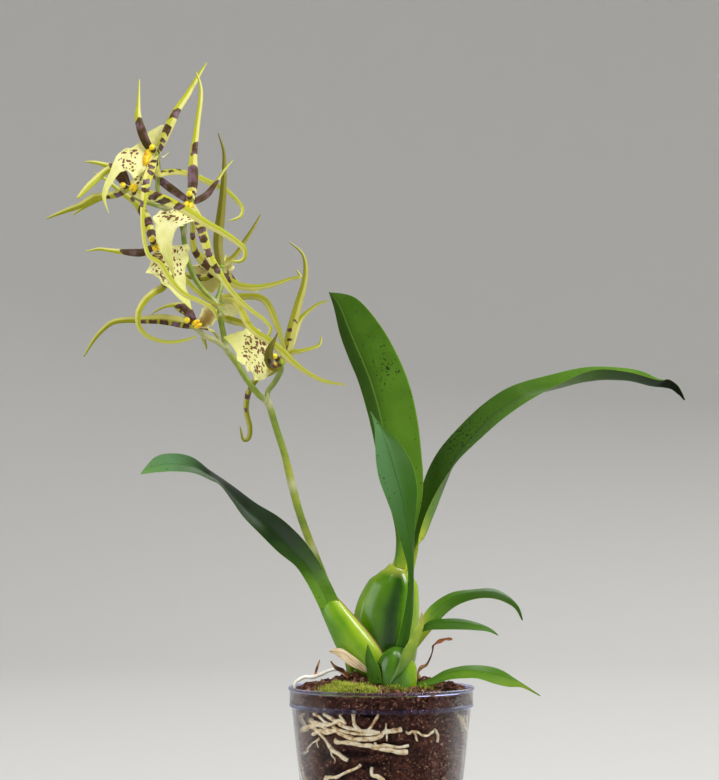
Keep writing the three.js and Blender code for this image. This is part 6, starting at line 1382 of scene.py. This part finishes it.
for letter, flower in FLOWERS.items():
    hub, cap = np.array(flower['hub'], float), np.array(flower['cap'], float)
    callus, plump = np.array(flower['callus'][:3]), flower['callus'][3]
    tepals = [tepal(rows, olive, marks) for olive, marks, rows in flower['tepals']]
    piece(f'flower_{letter}_tepals', tepals, tepal_skin)

    shaft = stem([[*hub + t * (cap - hub), radius] for t, radius in COLUMN], 16, 24, front=ASIDE)
    throat = skin(shaft, share=along(shaft) / along(shaft).max())
    piece(f'flower_{letter}_column', [throat], column_skin)
    dome = stem([[*cap + unit(cap - hub) * t, radius] for t, radius in CAP], 18, 24, front=ASIDE)
    piece(f'flower_{letter}_cap', [skin(dome)], cap_skin)

    left, right, spotted, olive, span = flower['lip']
    rings, facts = blade(left, right, LIP_STEPS, LIP_THICKNESS, LIP_FOLD, across=LIP_ACROSS,
                         ruffle=LIP_RUFFLE, frill=LIP_FRILL)
    t = facts['share']
    dense = spotted * np.clip(np.minimum(t - span[0], span[1] - t) / SPOT_FADE, 0, 1)
    # Painted shade: olive in the lip's middle, fading to its margins.
    made = skin(rings, **facts, reach=along(rings), spotted=dense, olive=olive * (1 - facts['middle'] ** 3))
    piece(f'flower_{letter}_lip', [made], lip_skin)

    way = unit(np.array(left[1], float) + right[1] - np.array(left[0]) - right[0])
    aside = unit(np.array(right[1], float) - left[1])
    ridges = []
    for shift in (-CALLUS_HALF_GAP, CALLUS_HALF_GAP):
        rows = [[*callus + plump * (aside * shift + way * t), plump * radius] for t, radius in RIDGE]
        ridges.append(skin(stem(rows, 14, 24, front=ASIDE)))
    piece(f'flower_{letter}_callus', ridges, callus_skin)

# ---- Studio -----------------------------------------------------------------
# A pale floor that curves up all round, soft lamps and the camera. None of it belongs to the plant.

FLOOR_RADIUS = 1900.0
FLOOR_BEND = 2500.0
FLOOR_TOP = 2600.0
FLOOR_SIDES = 96
CAMERA_PLACE = (-14.0, -1300.0, 203.0)
CAMERA_AIM = (-14.0, 0.0, 298.0)
SENSOR_HEIGHT = 36
LAMP_AIM = (-30, 0, 280)

# The frame is 780 rows high, each 0.65 mm at the plant.
FRAME_HEIGHT = 0.65 * 780

# Each lamp's place, its side in metres and its watts.
LAMPS = {'key lamp': ((1750, -1250, 2400), 1.2, 70), 'fill lamp': ((-3000, -1350, 1500), 2.6, 58),
         'top lamp': ((250, -1350, 2950), 1.0, 26), 'back lamp': ((700, 2200, 2000), 1.4, 22)}

pale_floor = finish('painted floor', Base_Color='#cfcecb', Roughness=0.9, Specular_IOR_Level=0.1)
bowl = np.vstack([[[1, 0], [FLOOR_RADIUS, 0]],
                  arc((FLOOR_RADIUS, FLOOR_BEND), FLOOR_BEND, -88, 0, 24),
                  [[FLOOR_RADIUS + FLOOR_BEND, FLOOR_TOP]]])
rings = turned(bowl, FLOOR_SIDES) * MM
i, j = np.mgrid[:len(rings) - 1, :FLOOR_SIDES]
a, b = i * FLOOR_SIDES + j, i * FLOOR_SIDES + (j + 1) % FLOOR_SIDES
quads = np.stack([a, b, b + FLOOR_SIDES, a + FLOOR_SIDES], -1).reshape(-1, 4)
middle = list(range(FLOOR_SIDES - 1, -1, -1))
mesh = bpy.data.meshes.new('studio_floor')
mesh.from_pydata(rings.reshape(-1, 3).tolist(), [], quads.tolist() + [middle])
mesh.polygons.foreach_set('use_smooth', np.full(len(mesh.polygons), True))
mesh.materials.append(pale_floor)
floor = bpy.data.objects.new('studio_floor', mesh)
bpy.context.scene.collection.objects.link(floor)


def aimed(thing, place, aim):
    """The lamp or camera at a place in millimetres, looking at another."""
    made = bpy.data.objects.new(thing.name, thing)
    bpy.context.scene.collection.objects.link(made)
    made.location = Vector(place) * MM
    made.rotation_euler = (Vector(aim) - Vector(place)).to_track_quat('-Z', 'Y').to_euler()
    return made


for name, (place, size, power) in LAMPS.items():
    lamp = bpy.data.lights.new(name, 'AREA')
    lamp.size = size
    lamp.energy = power
    aimed(lamp, place, LAMP_AIM)

bpy.context.scene.view_settings.view_transform = 'Standard'
world = bpy.data.worlds.new('studio air')
world.use_nodes = True
air = world.node_tree.nodes['Background']
air.inputs['Color'].default_value = linear('#e6e6e6')
air.inputs['Strength'].default_value = 0.28
bpy.context.scene.world = world

camera = bpy.data.cameras.new('camera')
camera.sensor_fit = 'VERTICAL'
camera.sensor_height = SENSOR_HEIGHT
distance = np.linalg.norm(np.subtract(CAMERA_AIM, CAMERA_PLACE))
camera.lens = SENSOR_HEIGHT * distance / FRAME_HEIGHT
bpy.context.scene.camera = aimed(camera, CAMERA_PLACE, CAMERA_AIM)
